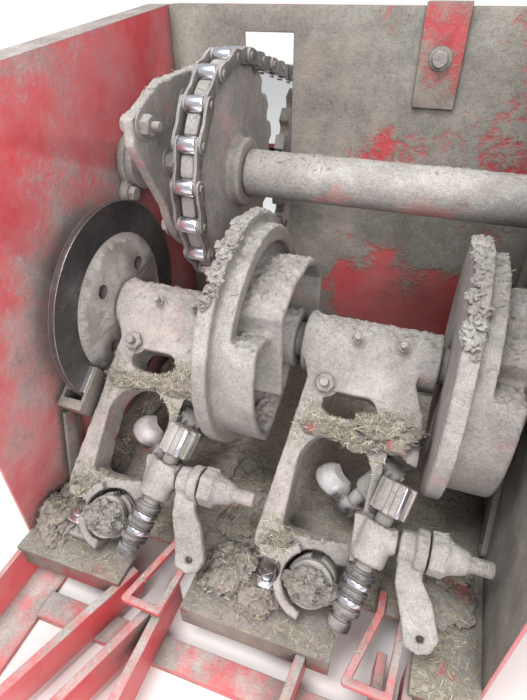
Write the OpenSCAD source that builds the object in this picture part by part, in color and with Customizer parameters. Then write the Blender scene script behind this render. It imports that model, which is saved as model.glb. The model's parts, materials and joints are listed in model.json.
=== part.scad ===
// Twin twine-knotter station of a square baler.
// The knotter shaft carries a brake disc and two cam discs. Beside each cam disc hangs a knotter head with
// its bill hook, worm shaft, twine disc and stripper arm. Above it a drive tube with a chain wheel crosses
// the sheet-metal compartment.
// Frame: +Z up, the viewer stands at -Y, +X to the right. The origin is on the floor under the middle.

/* [Layout] */
// Height of the knotter shaft above the floor
shaft_z = 258; // [250:1:275]
// Place of the knotter shaft from the middle of the base, minus is forward
shaft_y = -78; // [-84:1:-72]
// Distance between the two knotter heads
head_spacing = 240; // [236:1:250]
// Distance from the base's middle, to the left, of the middle between the heads
heads_left = 37; // [34:1:40]
// Lean of a head from straight down, towards the front
head_lean = 46; // [44:1:48]

/* [Compartment] */
// Clearance between the right cam disc and the right side plate
side_gap = 10.5; // [9:0.5:16]
// Thickness of the side and back sheets
sheet_t = 4; // [3:0.5:5]
// Height of the back plate's top edge above the shaft
back_rise = 314; // [300:1:330]
// Height of the side plates' front top corner above the shaft
front_rise = 272; // [255:1:290]
// Distance from the shaft forward to the side plates' front edge
plate_front = 228; // [215:1:240]
// Distance from the shaft back to the front face of the back plate
back_gap = 252; // [245:1:262]
// Width of the turned-over top flanges
flange_w = 28; // [20:1:32]
// Width of the window for the chain
window_w = 67; // [60:1:70]
// Height of the window's lower edge below the shaft
window_drop = 32; // [26:1:40]
// Height of the window's upper edge above the shaft
window_rise = 285; // [278:1:290]

/* [Table and rails] */
// Depth of the table's top face below the shaft
table_drop = 196; // [194:1:202]
// Thickness of the table
table_t = 6; // [5:0.5:8]
// Distance from the shaft forward to the table's front edge
table_front = 252; // [248:1:258]
// Length of the outer rails
rail_len = 956; // [950:1:980]
// Width of an outer rail's foot
rail_foot_w = 46; // [40:1:52]
// Thickness of the outer rails
rail_t = 6; // [5:0.5:8]
// Thickness of a chamber-top slat
slat_w = 10; // [8:0.5:12]
// Radius of a floor bolt's hole
floor_hole_r = 7; // [5:0.5:9]

/* [Knotter shaft] */
// Radius of the knotter shaft
shaft_r = 20; // [18:0.5:21]
// Radial running clearance of the shaft in its bearings and hubs
shaft_fit = 0.05; // [0.02:0.01:0.1]
// Radius of the brake disc
brake_r = 131; // [126:1:133]
// Thickness of the brake disc's rim
brake_t = 8; // [6:0.5:10]
// Distance from the left head's centre to the brake disc's outer face
brake_offset = 84; // [83:0.5:87]
// Gap between a brake pad and the disc
pad_gap = 0.3; // [0.2:0.1:0.6]

/* [Cam discs] */
// Radius of the toothed rim
cam_r = 140; // [134:1:142]
// Thickness of the toothed rim
cam_rim_t = 17; // [14:1:20]
// Radius of the drum
drum_r = 126; // [120:1:128]
// Distance from a head's centre to its cam disc's toothed face
cam_offset = 90.5; // [89:0.5:93]
// Width over the drum pocket
pocket_w = 62; // [56:1:64]
// Width over the arched lobe
lobe_w = 76; // [70:1:78]
// Thickness of the lobe's and the pocket's walls
cam_wall = 8; // [6:0.5:9]

/* [Knotter heads] */
// Radius of a head's hub
hub_r = 33; // [30:0.5:35]
// Reach of the hub to the left of the head's centre
hub_left = 65; // [62:1:68]
// Reach of the hub to the right of the head's centre
hub_right = 84; // [80:1:85]
// Depth of the cast frame, front to back
frame_depth = 44; // [38:1:46]
// Distance of the frame's front face before the shaft's plane
frame_front = 20; // [18:1:23]
// Radius of the worm shaft
worm_shaft_r = 9; // [8:0.5:10]
// Radius over the worm's thread
worm_r = 15; // [13:0.5:15.5]
// Radius of the twine disc
twine_disc_r = 26; // [24:0.5:26.5]
// Reach of the bill hook from its axis
hook_reach = 53; // [46:1:54]
// Radius of the bill hook's shaft
hook_shaft_r = 9; // [8:0.5:10]
// Radius of the stripper arm's pivot stud
stud_r = 8; // [7:0.5:9]

/* [Drive] */
// Radius of the drive tube
tube_r = 27; // [24:0.5:29]
// Distance of the drive tube behind the knotter shaft
tube_back = 116; // [112:1:122]
// Height of the drive tube above the knotter shaft
tube_rise = 149; // [145:1:156]
// Place of the chain's middle plane
chain_x = -118; // [-120:1:-116]
// Chain pitch
pitch = 41.4; // [41.4]
// Radius of a chain roller
roller_r = 8.4; // [8:0.1:8.8]
// Length of a chain roller
roller_w = 20; // [19:0.5:21]
// Thickness of a link plate
link_t = 3.2; // [3:0.1:3.6]
// Thickness of the chain wheels
wheel_t = 15; // [12:0.5:17]
// Fall of the chain's run towards the rear, in degrees
chain_fall = 13.4; // [12:0.2:14]
// Straight pitches between the two chain wheels
run_pitches = 7.5; // [7.5]

/* [Hidden] */
$fn = 64;
eps = 0.01;
seat_gap = 0.3;

// Colours of worn red paint, dusty casting, bright steel and rubbed steel
paint = [0.62, 0.16, 0.16];
dusty = [0.62, 0.56, 0.51];
steel = [0.72, 0.72, 0.76];
dark = [0.25, 0.25, 0.28];

head_1_x = -heads_left - head_spacing / 2;
brake_x = head_1_x - brake_offset;
plate_in = head_1_x + head_spacing + cam_offset + lobe_w + side_gap;
plate_x = plate_in + sheet_t;
head_x = [head_1_x, head_1_x + head_spacing];
table_z = shaft_z - table_drop;
rail_h = table_z - table_t;
back_y = shaft_y + back_gap;
tube_y = shaft_y + tube_back;
tube_z = shaft_z + tube_rise;
rear_back = tube_back + run_pitches * pitch * cos(chain_fall);
rear_rise = tube_rise - run_pitches * pitch * sin(chain_fall);
rear_y = shaft_y + rear_back;
rear_z = shaft_z + rear_rise;

// Extrudes a drawing of the Y-Z plane along +X, from x0
module along_x(x0, len, y = shaft_y, z = shaft_z) {
    translate([x0, y, z]) rotate([90, 0, 90]) linear_extrude(len) children();
}

// Round bar along +X
module bar_x(x0, len, r, y = shaft_y, z = shaft_z) {
    translate([x0, y, z]) rotate([0, 90, 0]) cylinder(r = r, h = len);
}

// Pie slice of a disc between two angles
module pie(r, a0, a1) {
    steps = ceil((a1 - a0) / 40);
    intersection() {
        circle(r);
        polygon(concat([[0, 0]], [for (i = [0:steps]) 2 * r * [cos(a0 + (a1 - a0) * i / steps),
            sin(a0 + (a1 - a0) * i / steps)]]));
    }
}

// Flat link outline: two round eyes joined by straight flanks
module eye_link(len, r) {
    translate([0, -r]) square([len, 2 * r]);
    circle(r);
    translate([len, 0]) circle(r);
}

// Side plates: a sloping top edge with a flange turned outwards
plate_foot = 10;
module side_plate(side) {
    front = -plate_front;
    rear = back_gap + sheet_t;
    color(paint) difference() {
        union() {
            along_x(side > 0 ? plate_in : -plate_x, sheet_t) polygon([[front, plate_foot - shaft_z],
                [rear, plate_foot - shaft_z], [rear, back_rise], [front, front_rise]]);
            along_x(side > 0 ? plate_in : -plate_x - flange_w, flange_w + sheet_t) polygon([
                [front, front_rise - sheet_t], [rear, back_rise - sheet_t], [rear, back_rise],
                [front, front_rise]]);
        }
        bar_x(-2 * plate_x, 4 * plate_x, shaft_r + 6);
        bar_x(-2 * plate_x, 4 * plate_x, tube_r - 6, tube_y, tube_z);
    }
}

// Back plate with the chain window and a flange turned to the rear
module back_plate() {
    color(dusty) difference() {
        union() {
            translate([-plate_in, back_y, table_z]) cube([2 * plate_in, sheet_t, table_drop + back_rise]);
            translate([-plate_in, back_y, shaft_z + back_rise - sheet_t])
                cube([2 * plate_in, flange_w, sheet_t]);
        }
        translate([chain_x - window_w / 2, back_y - 1, shaft_z - window_drop])
            cube([window_w, sheet_t + 2, window_drop + window_rise]);
    }
}

// Strap that hangs over the back flange
strap_x = 75;
strap_w = 50;
strap_t = 5;
strap_drop = 106;
module back_strap() {
    top = shaft_z + back_rise;
    color(paint) difference() {
        union() {
            translate([strap_x, back_y - strap_t, top - strap_drop]) cube([strap_w, strap_t, strap_drop]);
            translate([strap_x, back_y - strap_t, top]) cube([strap_w, flange_w, strap_t]);
        }
        translate([strap_x + strap_w / 2, back_y + 1, top - 51]) rotate([90, 0, 0])
            cylinder(r = 5.5, h = strap_t + 2);
    }
}

// Table with a needle notch beside each head and a lip along its front edge
notch_left = 36;
notch_w = 76;
notch_len = 66;
lip_h = 30;
table_back = back_gap;
module knotter_table() {
    color(dusty) difference() {
        union() {
            translate([-plate_in, shaft_y - table_front, table_z - table_t])
                cube([2 * plate_in, table_front + table_back, table_t]);
            translate([-plate_in, shaft_y - table_front, table_z - lip_h])
                cube([2 * plate_in, table_t, lip_h]);
        }
        for (x = head_x) translate([x + notch_left, shaft_y - table_front - 1, table_z - lip_h - 1])
            cube([notch_w, notch_len + 1, lip_h + 2]);
        for (x = head_x) translate([x + foot_x, shaft_y - foot_y, table_z - table_t - 1])
            cylinder(r = foot_hole_r, h = table_t + 2);
        for (s = slats) slat_clear(s);
        for (side = [-1, 1]) translate([side * (plate_in - rail_t / 2), 0, table_z - lip_h])
            cube([rail_t + 2 * seat_gap, 2 * table_front + 200, 2 * (lip_h - table_t)], center = true);
    }
}

// Outer rails: angle section with the foot turned inwards
floor_hole_x = plate_in - 26;
floor_hole_y = rail_len / 2 - 48;
module outer_rail(side) {
    color(paint) difference() {
        translate([0, rail_len / 2, 0]) rotate([90, 0, 0]) linear_extrude(rail_len)
            scale_x(side) polygon([[plate_in, 0], [plate_in, rail_h], [plate_in - rail_t, rail_h],
                [plate_in - rail_t, rail_t], [plate_in - rail_foot_w, rail_t], [plate_in - rail_foot_w, 0]]);
        for (y = [-floor_hole_y, floor_hole_y]) translate([side * floor_hole_x, y, -1])
            cylinder(r = floor_hole_r, h = rail_t + 2);
    }
}

// Mirrors a drawing for the left side
module scale_x(side) {
    if (side > 0) children();
    else mirror([1, 0]) children();
}

// Cross members between the feet of the outer rails, under the table
cross_w = 30;
cross_end = 106;
cross_rear_end = 344;
module cross_member(y) {
    inner = plate_in - rail_foot_w;
    color(paint) translate([-inner, y, 0]) cube([2 * inner, cross_w, slat_z]);
}

// Chamber-top slats on edge: left side at the table's front edge, splay to the left, start before the edge
slat_z = 12;
slats = [[head_x[0] + 27, 21, -30], [head_x[0] + 78, 21, 10], [head_x[0] + 86, 0, -30],
    [head_x[1] + 2, 5, -30], [head_x[1] + 79, 0, -30], [head_x[1] + 107, 3, -30]];
slat_reach = rail_len / 2 + shaft_y - table_front;
module slat(s) {
    color(paint) slat_body(s, 0);
}
module slat_body(s, extra) {
    translate([s[0], shaft_y - table_front, slat_z]) rotate([0, 0, -s[1]])
        translate([-extra, -slat_reach / cos(s[1]) + 8, 0])
        cube([slat_w + 2 * extra, slat_reach / cos(s[1]) - 8 - s[2], rail_h - slat_z + extra]);
}
module slat_clear(s) {
    intersection() {
        slat_body(s, seat_gap);
        translate([-plate_x, shaft_y - table_front - 1, 0])
            cube([2 * plate_x, table_t + 2, table_z - table_t]);
    }
}

// Two-bolt flange bearing with its foot at x0, standing out towards +X or -X
bearing_t = 18;
module flange_bearing(x0, way, bore, y, z, r) {
    color(dusty) difference() {
        union() {
            translate([way > 0 ? x0 : x0 - 9, y, z]) rotate([90, 0, 90]) linear_extrude(9) {
                rotate(45) translate([-r - 6, 0]) eye_link(2 * r + 12, 14);
                circle(r);
            }
            bar_x(way > 0 ? x0 : x0 - bearing_t, bearing_t, r - 5, y, z);
        }
        bar_x(-2 * plate_x, 4 * plate_x, bore, y, z);
        for (s = [-1, 1]) translate([0, y + s * (r + 6) * cos(45), z + s * (r + 6) * sin(45)])
            rotate([0, 90, 0]) cylinder(r = 5.5, h = 4 * plate_x, center = true);
    }
}

// Bearings of the knotter shaft outside the side plates, and of the drive tube inside them
module shaft_bearing(side) {
    flange_bearing(side * plate_x, side, shaft_r + shaft_fit, shaft_y, shaft_z, 42);
}
module tube_bearing(way) {
    flange_bearing(-way * plate_in, way, journal_r + shaft_fit, tube_y, tube_z, 40);
}

// Knotter shaft with both ends turned down and free outside the bearings
end_r = shaft_r - 2;
end_len = 24;
shaft_end = plate_x + bearing_t + 2 + end_len;
module knotter_shaft() {
    color(steel) {
        bar_x(end_len - shaft_end, 2 * (shaft_end - end_len), shaft_r);
        bar_x(-shaft_end, 2 * shaft_end, end_r);
    }
}

// Brake disc: flat rim, cast dish with four openings, and its hub
dish_r = 92;
dish_rise = 16;
dish_hole_r = 9;
dish_hole_place = 57;
brake_hub_r = 36;
brake_hub_w = 17;
module brake_disc() {
    color(dark) difference() {
        translate([brake_x, shaft_y, shaft_z]) rotate([0, 90, 0]) rotate_extrude() polygon([
            [shaft_r + 0.02, -2], [brake_hub_r, -2], [brake_hub_r + 6, 3], [dish_r - 6, 0], [dish_r, 0],
            [brake_r, 0], [brake_r, brake_t], [dish_r, brake_t], [dish_r - 10, brake_t + 6],
            [brake_hub_r + 10, brake_hub_w - 4], [brake_hub_r, brake_hub_w],
            [shaft_r + 0.02, brake_hub_w]]);
        for (a = [45:90:315]) translate([brake_x - 3, shaft_y, shaft_z]) rotate([a, 0, 0])
            translate([0, dish_hole_place, 0]) rotate([0, 90, 0]) cylinder(r = dish_hole_r, h = 40);
    }
}

// Brake pads either side of the rim, and the bracket that carries them from the table
pad_angle = 212;
pad_len = 34;
pad_t = 8;
pad_r = 112;
module brake_pads() {
    color(dark) for (x0 = [brake_x - pad_gap - pad_t, brake_x + brake_t + pad_gap])
        translate([x0, shaft_y, shaft_z]) rotate([pad_angle, 0, 0])
        translate([0, pad_r - pad_len / 2, -15]) cube([pad_t, pad_len, 30]);
}
clip_t = 4;
module brake_bracket() {
    x_out = brake_x - pad_gap - pad_t - clip_t;
    x_in = brake_x + brake_t + pad_gap + pad_t;
    post_y = -150;
    color(paint) {
        for (x0 = [x_out, x_in]) translate([x0, shaft_y, shaft_z]) rotate([pad_angle, 0, 0])
            translate([0, pad_r - pad_len / 2, -15]) cube([clip_t, pad_len + 22, 30]);
        translate([x_out, shaft_y, shaft_z]) rotate([pad_angle, 0, 0])
            translate([0, pad_r + pad_len / 2 + 10, -15]) cube([x_in + clip_t - x_out, 12, 30]);
        along_x(x_out, clip_t) polygon([[-132, -84], [-106, -94], [post_y + 22, -table_drop],
            [post_y - 8, -table_drop]]);
        translate([x_out, shaft_y + post_y - 8, table_z]) cube([24, 30, clip_t]);
    }
}

// Cam disc: toothed rim, drum, arched lobe and open drum pocket
cam_hub_r = 34;
cam_hub_w = 76;
web_face = 34;
rim_recess = 8;
tooth_count = 13;
tooth_start = 68;
tooth_step = 5.6;
tooth_depth = 7;
tooth_root = 118;
module lobe_outline(inset) {
    intersection() {
        translate([-75 + inset, -30]) square([170 - 2 * inset, 120 - inset]);
        translate([-5, -25]) circle(118 - inset);
    }
}
module pocket_outline(inset) {
    intersection() {
        circle(drum_r - inset);
        polygon([[-55, 48 - inset], [-150, 61 - inset], [-150, inset - 116], [-7 - inset, inset - 77],
            [20 - inset, -34]]);
    }
}
module cam_disc(i) {
    x0 = head_x[i] + cam_offset;
    color(dusty) difference() {
        union() {
            bar_x(x0, cam_rim_t, cam_r);
            bar_x(x0, web_face - rim_recess, drum_r);
            along_x(x0, web_face) difference() {
                circle(drum_r);
                circle(drum_r - 18);
            }
            bar_x(x0, cam_hub_w, cam_hub_r);
            along_x(x0 + cam_rim_t, lobe_w - cam_rim_t) difference() {
                lobe_outline(0);
                lobe_outline(cam_wall);
            }
            along_x(x0 + cam_rim_t, pocket_w - cam_rim_t) difference() {
                pocket_outline(0);
                pocket_outline(cam_wall);
            }
        }
        bar_x(x0 - 1, cam_hub_w + 2, shaft_r + 0.02);
        for (k = [0:tooth_count - 1]) translate([x0, shaft_y, shaft_z])
            rotate([tooth_start + k * tooth_step, 0, 0]) translate([-1, tooth_root, -3])
            cube([tooth_depth + 1, cam_r, 6]);
        along_x(x0 - 1, web_face + 2) translate([-41, -74]) rotate(60) translate([-5, 0]) eye_link(10, 6.5);
    }
}

// Moves a piece to head i, into the head's own frame: X along the shaft, -Z down the leaning frame
module at_head(i) {
    translate([head_x[i], shaft_y, shaft_z]) rotate([-head_lean, 0, 0]) children();
}

// Extrudes a drawing of the head's face from depth y0 to y1
module across(y0, y1) {
    translate([0, y1, 0]) rotate([90, 0, 0]) linear_extrude(y1 - y0) children();
}

// Places in a head's frame
foot_x = -47;
foot_y = 200;
foot_hole_r = 7;
worm_top = [66, -34, -140];
worm_lean = 12;
twine_disc_at = [1, -252];
disc_face = -2;
pivot_y = -38;
pivot_z = -188;
pad_end = 76;
worm_pinion_r = 19;
hook_at = [20, 31, -172];
hook_tilt_x = 33;
hook_tilt_y = 32;

// Frame of the worm shaft: -Z runs down its axis
module worm_frame() {
    translate(worm_top) rotate([0, worm_lean, 0]) children();
}

// Frame of the bill hook: +Z runs up its shaft to the pinion
module hook_frame() {
    translate(hook_at) rotate([hook_tilt_y, 0, 0]) rotate([0, hook_tilt_x, 0]) children();
}

// Cast frame of a head: side rail, webs, arched window, bosses and foot
frame_back = frame_depth - frame_front;
corner_r = 8;
module frame_face() {
    difference() {
        union() {
            polygon([[-62, 0], [-62, -20], [-52, -44], [-70, -226], [-60, -238], [-30, -239], [34, -229],
                [40, -214], [40, -186], [64, -160], [66, -128], [82, -112], [78, -62], [64, -30], [64, 0]]);
            translate([-61, -230]) circle(corner_r);
        }
        arched_window();
        small_window();
    }
}
module arched_window() {
    polygon([[-42, -132], [-42, -198], [-36, -212], [-8, -213], [28, -206], [37.5, -196], [37.5, -136]]);
    intersection() {
        translate([-2, -140]) circle(40.5);
        translate([-60, -140]) square([97.5, 60]);
    }
    translate([-33, -203]) circle(9);
}
module small_window() {
    translate([-16, -82]) square([32, 27]);
    for (x = [-16, 16]) translate([x, -68.5]) circle(13.5);
}
// Outline of the frame from the side: deep at the hub and the foot, slimmer between
module frame_side() {
    polygon([[-33, 4], [33, 4], [frame_back, -46], [frame_back - 5, -120], [frame_back - 3, -200],
        [frame_back, -245], [-frame_front, -245], [-frame_front, -120], [-frame_front - 4, -46]]);
}
worm_boss_r = 18;
boss_top = 36;
boss_len = 40;
module knotter_frame(i) {
    color(dusty) difference() {
        union() {
            bar_x(head_x[i] - hub_left, hub_left + hub_right, hub_r);
            bar_x(head_x[i] - hub_left, 8, hub_r + 2.5);
            for (x = [-4, 44]) translate([head_x[i] + x, shaft_y, shaft_z]) rotate([38, 0, 0])
                cylinder(r = 7, h = hub_r + 4);
            at_head(i) {
                intersection() {
                    across(-frame_front - 14, frame_back + 14) frame_face();
                    translate([-80, 0, 0]) rotate([90, 0, 90]) linear_extrude(180) frame_side();
                }
                across(-frame_front - 9, -frame_front + 4)
                    polygon([[48, -125], [41, -181], [73, -181], [76, -125]]);
                worm_frame() translate([0, 0, -boss_top - boss_len]) cylinder(r = worm_boss_r, h = boss_len);
                across(-frame_front - 16, -frame_front + 8) polygon([[30, -172], [66, -170], [70, -206],
                    [34, -220]]);
                translate([60, pivot_y, pivot_z]) rotate([0, 90, 0]) cylinder(r = 13, h = pad_end - 60);
                hook_frame() translate([0, 0, 27]) cylinder(r = 15, h = 24);
                translate([twine_disc_at[0], disc_face, twine_disc_at[1]]) rotate([-90, 0, 0])
                    cylinder(r = 14, h = frame_back - disc_face);
                across(disc_face, frame_back - 4)
                    polygon([[-28, -234], [30, -226], [14, -252], [-14, -252]]);
                across(-frame_front - 12, disc_face - 1) translate(twine_disc_at)
                    pie(twine_disc_r + 14, 120, 262);
                across(-frame_front - 12, disc_face - 1)
                    polygon([[-62, -230], [-20, -230], [-22, -258], [-48, -254]]);
            }
            translate([head_x[i] + foot_x - 18, shaft_y - foot_y - 20, table_z]) cube([36, 44, 10]);
            along_x(head_x[i] + foot_x - 12, 24) polygon([[-184, -table_drop], [-160, -table_drop],
                [-146, -150], [-180, -150]]);
        }
        bar_x(head_x[i] - hub_left - 1, hub_left + hub_right + 2, shaft_r + shaft_fit);
        at_head(i) {
            worm_frame() translate([0, 0, -120]) cylinder(r = worm_shaft_r + shaft_fit, h = 120);
            worm_frame() translate([0, 0, -boss_top + 4]) cylinder(r = worm_pinion_r + 5, h = 60);
            hook_frame() translate([0, 0, -70]) cylinder(r = hook_shaft_r + shaft_fit, h = 160);
            hook_frame() translate([0, 0, 53]) cylinder(r = hook_pinion_r + 6, h = 40);
            hook_frame() translate([0, 0, -30]) cylinder(r = hook_reach + 6, h = 36);
            hook_frame() translate([0, 0, 4]) cylinder(r = bill_bend + 24, h = 21);
            translate([twine_disc_at[0], -60, twine_disc_at[1]]) rotate([-90, 0, 0])
                cylinder(r = 8 + shaft_fit, h = 100);
            translate([twine_disc_at[0], -60, twine_disc_at[1]]) rotate([-90, 0, 0])
                cylinder(r = twine_disc_r + 4, h = 60 + disc_face);
        }
        translate([head_x[i] + foot_x, shaft_y - foot_y, table_z - 1]) cylinder(r = foot_hole_r, h = 40);
        translate([head_x[i] + foot_x, shaft_y - foot_y, table_z + 10]) cylinder(r = 15, h = 40);
        translate([head_x[i] + foot_x + 19, shaft_y - foot_y - 60, table_z - 30]) cube([120, 160, 32]);
    }
}

// Bolt through a head's foot and the table
module foot_bolt(i) {
    color(steel) translate([head_x[i] + foot_x, shaft_y - foot_y, 0]) {
        translate([0, 0, table_z - table_t - 8]) cylinder(r = 6, h = table_t + 34);
        translate([0, 0, table_z + 10]) cylinder(r = 13, h = 10, $fn = 6);
        translate([0, 0, table_z - table_t - 8]) cylinder(r = 11, h = 8, $fn = 6);
    }
}

// Toothed pinion with an even number of teeth
module pinion(r, len, teeth) {
    linear_extrude(len) difference() {
        circle(r);
        for (k = [0:teeth - 1]) rotate(k * 360 / teeth) translate([r + 1, 0]) circle(4.2);
    }
}

// Bill hook: pinion, shaft, and the bill, a curved hood with a flat lip below it
hook_pinion_r = 15;
bill_bend = 30;
bill_r = hook_reach - bill_bend;
bill_wall = 4;
bill_top = 19;
bill_turn = 165;
module bill_hook(i) {
    color(steel) at_head(i) hook_frame() {
        translate([0, 0, -8]) cylinder(r = hook_shaft_r, h = 80);
        translate([0, 0, 58]) pinion(hook_pinion_r, 16, 8);
        translate([0, 0, -8]) cylinder(r = 13, h = 16);
        rotate(bill_turn) translate([bill_bend, 0, 0]) rotate(-40) {
            rotate_extrude(angle = 220) intersection() {
                difference() {
                    circle(bill_r);
                    circle(bill_r - bill_wall);
                }
                square([bill_r + 1, bill_top]);
            }
            translate([0, 0, -2]) rotate_extrude(angle = 220) translate([bill_r - 12, 0]) square([12, 4]);
        }
    }
}

// Tongue that closes against the bill from below
tongue_t = 3.5;
module hook_tongue(i) {
    color(steel) at_head(i) hook_frame() rotate(bill_turn) translate([19, 0, -2.3 - tongue_t])
        linear_extrude(tongue_t) difference() {
            rotate(-14) eye_link(32, 5.5);
            circle(2);
        }
}

// Worm shaft with its driving pinion, worm and end collar
module worm(i) {
    color(steel) at_head(i) worm_frame() {
        translate([0, 0, -146]) cylinder(r = worm_shaft_r, h = 152);
        translate([0, 0, -24]) pinion(worm_pinion_r, 32, 9);
        for (k = [0:4]) translate([0, 0, -92 - k * 9]) cylinder(r = worm_r, h = 5.5);
        translate([0, 0, -132]) cylinder(r = worm_r - 3.5, h = 48);
        translate([0, 0, -146]) cylinder(r = 12, h = 10);
    }
}

// Twine disc: two notched discs behind the worm wheel, on one shaft
wheel_face = -38;
module twine_disc(i) {
    color(steel) at_head(i) translate([twine_disc_at[0], 0, twine_disc_at[1]]) rotate([90, 0, 0]) {
        translate([0, 0, -frame_back + 8]) cylinder(r = 8, h = frame_back - 8 - wheel_face);
        translate([0, 0, -wheel_face - 9]) cylinder(r = disc_wheel_r, h = 9);
        for (z = [6, 13, 20]) translate([0, 0, z]) linear_extrude(3.5) difference() {
            circle(twine_disc_r);
            for (a = [0:90:270]) rotate(a) translate([twine_disc_r, 0]) circle(6);
        }
        translate([0, 0, 6]) cylinder(r = 14, h = 24);
    }
}
disc_wheel_r = 23.5;

// Pivot stud with its block nut and tapered nut, fixed in the worm boss
stud_end = 166;
nut_x = 106;
module pivot_stud(i) {
    color(dusty) at_head(i) translate([0, pivot_y, pivot_z]) rotate([0, 90, 0]) {
        translate([0, 0, pad_end]) cylinder(r = stud_r, h = stud_end - pad_end);
        translate([0, 0, nut_x]) cylinder(r = 22, h = 16, $fn = 6);
        translate([0, 0, nut_x + 16]) cylinder(r1 = 17, r2 = 11, h = 20);
    }
}

// Stripper arm on its pivot stud
arm_gap = 1.5;
arm_hub_r = 15;
arm_seat_w = 11.5;
module stripper_arm(i) {
    color(dusty) at_head(i) difference() {
        union() {
            translate([pad_end + arm_gap, pivot_y, pivot_z]) rotate([0, 90, 0])
                cylinder(r = arm_hub_r, h = nut_x - pad_end - 2 * arm_gap);
            translate([nut_x - arm_gap - arm_seat_w, pivot_y, pivot_z]) rotate([0, 90, 0])
                cylinder(r = arm_hub_r + 5, h = arm_seat_w);
            across(pivot_y - 6, pivot_y + 6) {
                polygon([[78, -190], [104, -188], [104, -214], [117, -232], [129, -262], [124, -276],
                    [110, -280], [98, -276], [92, -254], [80, -224]]);
                translate([112, -270]) circle(10);
            }
        }
        translate([60, pivot_y, pivot_z]) rotate([0, 90, 0]) cylinder(r = stud_r + shaft_fit, h = 60);
        at_tip() cylinder(r = 4, h = 40, center = true);
    }
}
module at_tip() {
    translate([112, pivot_y, -266]) rotate([90, 0, 0]) children();
}

// Bent bar that guides the twine round the needle notch: places from the head's centre and the shaft
guide_w = 8;
guide_path = [[75, -168], [75, -189], [54, -264], [94, -265], [99, -189], [99, -168]];
module twine_guide(i) {
    color(paint) translate([head_x[i], shaft_y, table_z + seat_gap]) linear_extrude(guide_w - 1)
        for (k = [0:4]) {
            d = guide_path[k + 1] - guide_path[k];
            translate(guide_path[k]) rotate(atan2(d[1], d[0])) eye_link(norm(d), guide_w / 2);
        }
}

// Drive tube with a journal at each end
journal_r = 18;
wheel_hub_x = chain_x + wheel_t / 2 + 14;
module drive_tube() {
    color(dusty) {
        bar_x(wheel_hub_x, plate_in - bearing_t - 2 - wheel_hub_x, tube_r, tube_y, tube_z);
        bar_x(-plate_x, 2 * plate_x, journal_r, tube_y, tube_z);
    }
}

// Toothed chain wheel: seats for the rollers, flanks that open outwards
teeth = 19;
wheel_r = pitch / (2 * sin(180 / teeth));
tooth_angle = 360 / teeth;
seat_r = roller_r + 0.4;
module wheel_outline(phase) {
    difference() {
        circle(wheel_r + 6);
        for (k = [0:teeth - 1]) rotate(phase + k * tooth_angle) {
            translate([wheel_r, 0]) circle(seat_r);
            polygon([[wheel_r, -seat_r], [wheel_r + 12, -seat_r - 5], [wheel_r + 12, seat_r + 5],
                [wheel_r, seat_r]]);
        }
    }
}
module chain_wheel() {
    color(dusty) difference() {
        union() {
            along_x(chain_x - wheel_t / 2, wheel_t, tube_y, tube_z) wheel_outline(90 - chain_fall);
            bar_x(chain_x, wheel_hub_x - chain_x, 40, tube_y, tube_z);
        }
        bar_x(-2 * plate_x, 4 * plate_x, journal_r + 0.02, tube_y, tube_z);
    }
}

// Clutch drum and D-shaped flange plate beside the chain wheel
flange_x = -172;
flange_t = 12;
flange_r = 100;
drum_out_r = 58;
module flange_plate() {
    color(dusty) difference() {
        union() {
            along_x(flange_x, flange_t, tube_y, tube_z) {
                circle(flange_r);
                polygon(flange_r * [[-1.46, 0.6], [-1.44, 0.86], [-0.82, 1.1], [0.2, 1.12], [0.96, 0.3],
                    [0.6, -0.8], [-0.6, -0.8]]);
            }
            bar_x(flange_x, chain_x - wheel_t / 2 - flange_x, drum_out_r, tube_y, tube_z);
        }
        bar_x(-2 * plate_x, 4 * plate_x, journal_r + 0.02, tube_y, tube_z);
    }
}

// Chain loop: half a wheel, a straight run, half a wheel, a straight run, all counted in pitches
half_wrap = teeth / 2;
links = 2 * half_wrap + 2 * run_pitches;
run_way = [cos(chain_fall), -sin(chain_fall)];
rear_at = run_pitches * pitch * run_way;
function at_angle(a) = wheel_r * [cos(a - chain_fall), sin(a - chain_fall)];
function roller_at(k) = k < half_wrap ? at_angle(90 + k * tooth_angle)
    : k < half_wrap + run_pitches ? at_angle(270) + (k - half_wrap) * pitch * run_way
    : k < 2 * half_wrap + run_pitches ? rear_at + at_angle(-90 + (k - half_wrap - run_pitches) * tooth_angle)
    : k < links ? rear_at + at_angle(90) - (k - 2 * half_wrap - run_pitches) * pitch * run_way
    : roller_at(k - links);
module chain() {
    color(steel) for (k = [0:links - 1]) {
        p = roller_at(k);
        q = roller_at(k + 1);
        d = q - p;
        level = k % 2 == 0 ? roller_w / 2 : roller_w / 2 + link_t;
        along_x(chain_x - roller_w / 2 - 2 * link_t, roller_w + 4 * link_t, tube_y, tube_z)
            translate(p) circle(3.6, $fn = 8);
        along_x(chain_x - roller_w / 2, roller_w, tube_y, tube_z) translate(p) circle(roller_r, $fn = 12);
        for (x = [chain_x - level - link_t, chain_x + level]) along_x(x, link_t, tube_y, tube_z)
            translate(p) rotate(atan2(d[1], d[0])) polygon([[-6, -9], [norm(d) + 6, -9], [norm(d) + 9, 0],
                [norm(d) + 6, 9], [-6, 9], [-9, 0]]);
    }
}

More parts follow.
